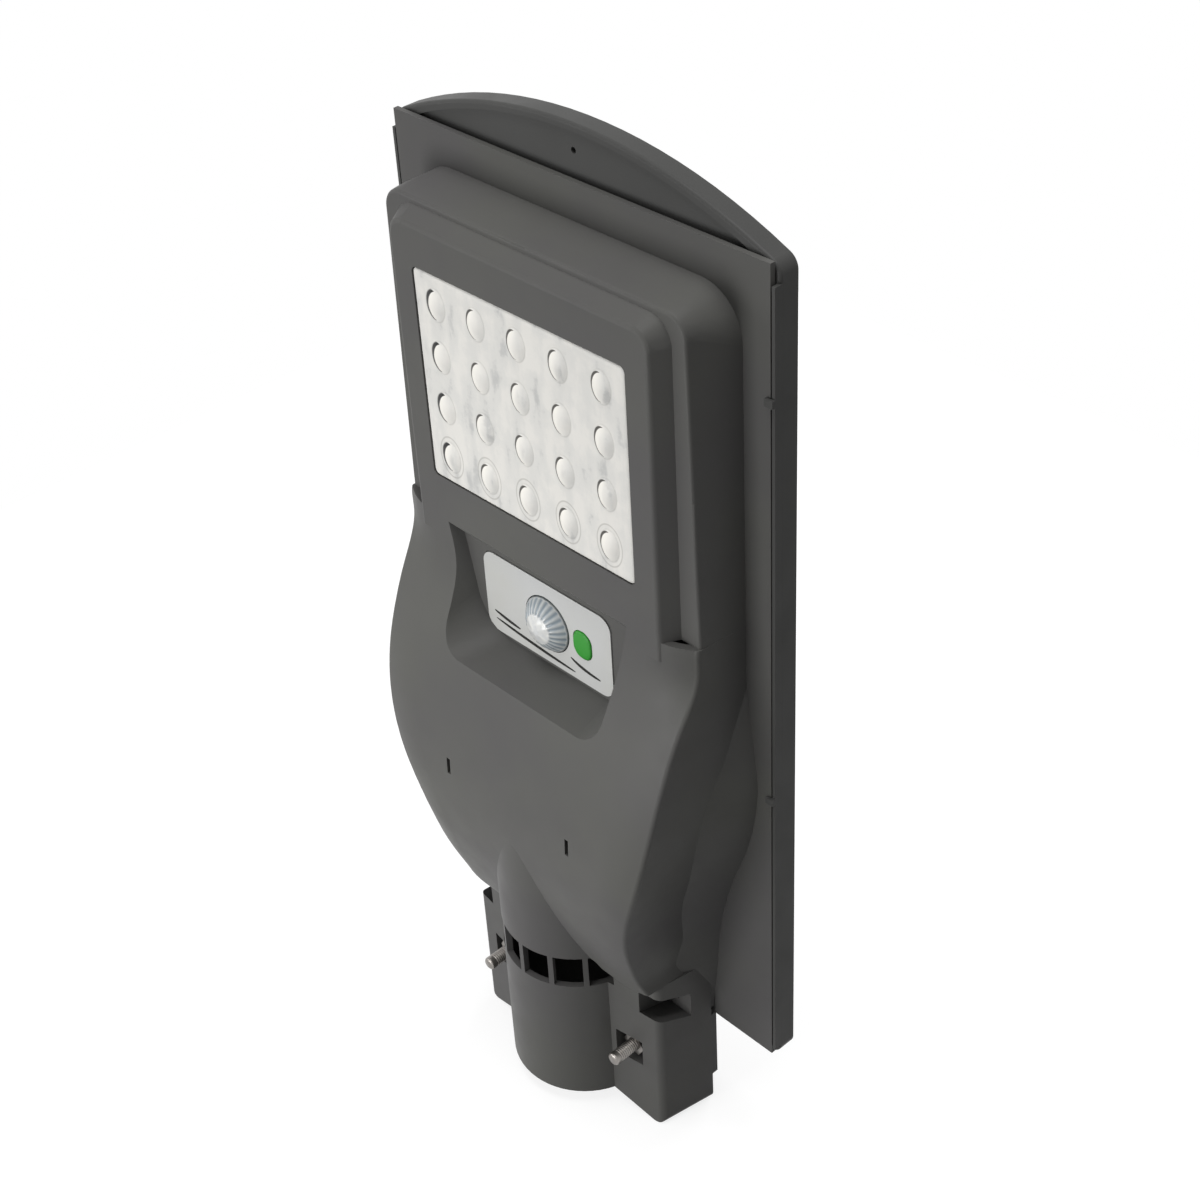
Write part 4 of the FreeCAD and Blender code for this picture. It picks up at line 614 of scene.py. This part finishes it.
BUTTON_LOW, BUTTON_HIGH = (np.array(corner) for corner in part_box("power_button"))
BUTTON_LIP, BUTTON_LIP_FRONT, BUTTON_LIP_BACK = 0.9 * MM, 3.2 * MM, 4.3 * MM
BUTTON_STEM, BUTTON_STEM_FRONT = 1.5 * MM, 4.31 * MM
# How square an outline is: 2 is an oval, and more comes nearer to a rectangle
CAP_SQUARE, STEM_SQUARE = 2.5, 2.0
# Steps of the cap from its face back: share of the cap's half size, and way back in millimetres
CAP_STEPS = [(0.02, 0), (0.4, 0.03), (0.7, 0.12), (0.88, 0.28), (0.96, 0.5), (1.0, 0.85), (1.0, 3.1)]


def button_piece(around=96):
    """Push button: ovals between a circle and a rectangle, carried back along Y from a crowned face.

    A point's place across is the half width times the cosine's size to the power 2 / square, and upright the
    same with the sine. Behind the cap follow its lip and its round stem.
    """
    wide_x, last, wide_z = (BUTTON_HIGH - BUTTON_LOW) / [2, 1, 2]
    half_x, half_z = wide_x - BUTTON_LIP, wide_z - BUTTON_LIP
    middle = (BUTTON_HIGH + BUTTON_LOW) / 2
    steps = [(share * half_x, share * half_z, back * MM, CAP_SQUARE) for share, back in CAP_STEPS]
    steps += [(wide_x, wide_z, back, CAP_SQUARE) for back in (BUTTON_LIP_FRONT, BUTTON_LIP_BACK)]
    steps += [(stem, stem, back, STEM_SQUARE) for stem, back in
              ((BUTTON_STEM, BUTTON_STEM_FRONT), (BUTTON_STEM, last), (BUTTON_STEM * 0.02, last))]
    across, upright, back, square = (np.array(column)[:, None] for column in zip(*steps))
    angle = turn_angles(around)
    cosine, sine = np.cos(angle), np.sin(angle)
    x = middle[0] + across * np.sign(cosine) * np.abs(cosine) ** (2 / square)
    z = middle[2] + upright * np.sign(sine) * np.abs(sine) ** (2 / square)
    y = np.repeat(BUTTON_LOW[1] + back, around, axis=1)
    shape = closed_tube(np.stack([x, y, z], axis=-1), [middle[0], BUTTON_LOW[1], middle[2]],
                        [middle[0], BUTTON_HIGH[1], middle[2]], turned=True)
    return piece("button_oval", *shape)


add(button_piece(), "power_button", button_green, body="button")

BOLT_LOW, BOLT_HIGH = (np.array(corner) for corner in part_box("clamp_bolts"))
BOLT_RADIUS, BOLT_PITCH, THREAD_DEEP = 3 * MM, 1 * MM, 0.3 * MM
BOLT_HEAD_RADIUS, BOLT_HEAD_TALL = 5.6 * MM, 4 * MM
BOLT_TIP, BOLT_TIP_SHARE, BOLT_STEPS = 1.2 * MM, 0.55, 330
THREAD_START, THREAD_FULL = 2.2 * MM, 3.4 * MM
BOLT_X, BOLT_Z = BOLT_HIGH[0] - BOLT_HEAD_RADIUS, (BOLT_LOW[2] + BOLT_HIGH[2]) / 2
# Steps of the bolt head from its inner face: share of its height, and the cone's share of its radius
HEAD_STEPS = [(0, 0.88), (0.02, 0.9), (0.1, 1), (0.5, 1), (0.9, 1), (0.98, 0.9), (1, 0.88)]


def bolt_rings(x, radius, depth):
    """Rings of points round a bolt's middle line; radius has a row for each ring, and depth is its place."""
    around = radius.shape[1]
    angle = turn_angles(around)
    y = np.repeat(depth, around, axis=1)
    return np.stack([x + radius * np.cos(angle), y, BOLT_Z + radius * np.sin(angle)], axis=-1)


def bolt_shank(x, around=48):
    """Bolt shank along Y: a threaded rod with a crowned tip.

    The radius falls by a triangle wave of the turn count, which is the way along the rod over the pitch plus
    the angle; the wave fades out at the tip, where the radius follows a quarter of an oval.
    """
    long = BOLT_HIGH[1] - BOLT_HEAD_TALL - BOLT_LOW[1]
    tip = np.linspace(0.02, 1, 10) * BOLT_TIP
    way = np.concatenate([tip, np.linspace(BOLT_TIP + 0.1 * MM, long, BOLT_STEPS)])[:, None]
    turns = way / BOLT_PITCH + turn_angles(around) / (2 * math.pi)
    wave = 1 - np.abs(2 * (turns % 1) - 1)
    oval = np.sqrt(np.clip(1 - (1 - np.clip(way / BOLT_TIP, 0, 1)) ** 2, 0, 1))
    crown = oval * (1 - BOLT_TIP_SHARE) + BOLT_TIP_SHARE
    radius = BOLT_RADIUS * crown - THREAD_DEEP * wave * smooth_step(way, THREAD_START, THREAD_FULL)
    return closed_tube(bolt_rings(x, radius, BOLT_LOW[1] + way), [x, BOLT_LOW[1], BOLT_Z],
                       [x, BOLT_LOW[1] + long, BOLT_Z], turned=True)


def bolt_head(x, around=72):
    """Hexagon head along Y: at each step a hexagon's distance from its middle, cut by a cone at both ends."""
    angle = turn_angles(around)
    flat = math.cos(math.pi / 6) / np.cos((angle + math.pi / 6) % (math.pi / 3) - math.pi / 6)
    share, cone = (np.array(column)[:, None] for column in zip(*HEAD_STEPS))
    radius = BOLT_HEAD_RADIUS * np.minimum(flat, cone)
    depth = BOLT_HIGH[1] - BOLT_HEAD_TALL * (1 - share)
    return closed_tube(bolt_rings(x, radius, depth), [x, BOLT_HIGH[1] - BOLT_HEAD_TALL, BOLT_Z],
                       [x, BOLT_HIGH[1], BOLT_Z], turned=True)


bolt_parts = [shape(side * BOLT_X) for side in (-1, 1) for shape in (bolt_shank, bolt_head)]
add(piece("threaded_bolts", *join(bolt_parts)), "clamp_bolts", bolt_steel)

# Floor, light and camera

FLOOR_Z = CAD_BOX[0][2] - 0.2 * MM
FLOOR_GLOW = 0.8
FLOOR_HALF = 0.6
SKY_LIGHT = 0.18
floor_corners = [(x * FLOOR_HALF, y * FLOOR_HALF, FLOOR_Z) for x, y in ((-1, -1), (1, -1), (1, 1), (-1, 1))]
floor = piece("floor", np.array(floor_corners), np.array([[0, 1, 2, 3]]), smooth=False)


def white_to_the_eye(tree, seen, lit, out):
    """Joins two shaders: seen for camera, glossy and transmission rays, lit for all others."""
    path = tree.nodes.new("ShaderNodeLightPath")
    share = path.outputs["Is Camera Ray"]
    for ray in ("Is Glossy Ray", "Is Transmission Ray"):
        most = tree.nodes.new("ShaderNodeMath")
        most.operation = "MAXIMUM"
        tree.links.new(share, most.inputs[0])
        tree.links.new(path.outputs[ray], most.inputs[1])
        share = most.outputs[0]
    both = tree.nodes.new("ShaderNodeMixShader")
    tree.links.new(share, both.inputs[0])
    tree.links.new(lit, both.inputs[1])
    tree.links.new(seen, both.inputs[2])
    tree.links.new(both.outputs[0], out)


def floor_finish():
    """Pale floor: white to the eye where light falls on it, and a little grey in the object's shadow."""
    material = bpy.data.materials.new("floor_pale")
    material.use_nodes = True
    tree = material.node_tree
    tree.nodes.clear()
    plain = tree.nodes.new("ShaderNodeBsdfDiffuse")
    plain.inputs["Color"].default_value = (0.25, 0.25, 0.25, 1)
    glow = tree.nodes.new("ShaderNodeEmission")
    glow.inputs["Strength"].default_value = FLOOR_GLOW
    bright = tree.nodes.new("ShaderNodeAddShader")
    tree.links.new(plain.outputs[0], bright.inputs[0])
    tree.links.new(glow.outputs[0], bright.inputs[1])
    out = tree.nodes.new("ShaderNodeOutputMaterial")
    white_to_the_eye(tree, bright.outputs[0], plain.outputs[0], out.inputs["Surface"])
    return material


floor.data.materials.append(floor_finish())

scene = bpy.context.scene
scene.view_settings.view_transform = "Standard"
world = bpy.data.worlds.new("studio")
scene.world = world
world.use_nodes = True
sky = world.node_tree
sky.nodes.clear()
lit_sky = sky.nodes.new("ShaderNodeBackground")
lit_sky.inputs["Color"].default_value = (1, 1, 1, 1)
lit_sky.inputs["Strength"].default_value = SKY_LIGHT
seen_sky = sky.nodes.new("ShaderNodeBackground")
seen_sky.inputs["Color"].default_value = (1, 1, 1, 1)
sky_out = sky.nodes.new("ShaderNodeOutputWorld")
white_to_the_eye(sky, seen_sky.outputs[0], lit_sky.outputs[0], sky_out.inputs["Surface"])


def stand(holder, right, up, back, place):
    """Puts a light or camera into the scene at a place, turned so that it looks against back."""
    scene.collection.objects.link(holder)
    rows = [[right[i], up[i], back[i], place[i]] for i in range(3)]
    holder.matrix_world = Matrix(rows + [[0, 0, 0, 1]])


def area_light(name, place, target, size, power):
    """Square soft light at a place, turned to a target."""
    lamp = bpy.data.lights.new(name, "AREA")
    lamp.shape = "SQUARE"
    lamp.size = size
    lamp.energy = power
    ahead = np.array(target) - np.array(place)
    back = -ahead / np.linalg.norm(ahead)
    right = np.cross((0, 0, 1), back)
    right = right / np.linalg.norm(right)
    stand(bpy.data.objects.new(name, lamp), right, np.cross(back, right), back, place)


area_light("key", place=(-0.06, -0.5, 0.21), target=(0, 0, 0.21), size=0.24, power=1.75)
area_light("left", place=(-0.7, -0.7, 0.4), target=(0, 0, 0.21), size=0.4, power=2.0)
area_light("back", place=(-0.2, 1.0, 0.4), target=(0, 0, 0.2), size=0.6, power=7.0)
area_light("top", place=(0.1, -0.05, 1.7), target=(0, 0, 0.22), size=1.0, power=20.0)

AZIMUTH, ELEVATION, ROLL = (math.radians(turn) for turn in (48.585, 36.177, -3.509))
EYE = np.array([0.504889, -0.422005, 0.724583])
FOCAL_LENGTH, SENSOR_WIDTH = 63.286, 36
reach = math.cos(ELEVATION)
back = np.array([math.sin(AZIMUTH) * reach, -math.cos(AZIMUTH) * reach, math.sin(ELEVATION)])
level = np.array([math.cos(AZIMUTH), math.sin(AZIMUTH), 0.0])
rise = np.cross(back, level)
right = math.cos(ROLL) * level + math.sin(ROLL) * rise
up = math.cos(ROLL) * rise - math.sin(ROLL) * level
lens_of_camera = bpy.data.cameras.new("camera")
lens_of_camera.lens = FOCAL_LENGTH
lens_of_camera.sensor_width = SENSOR_WIDTH
lens_of_camera.sensor_fit = "HORIZONTAL"
camera = bpy.data.objects.new("camera", lens_of_camera)
stand(camera, right, up, back, EYE)
scene.camera = camera
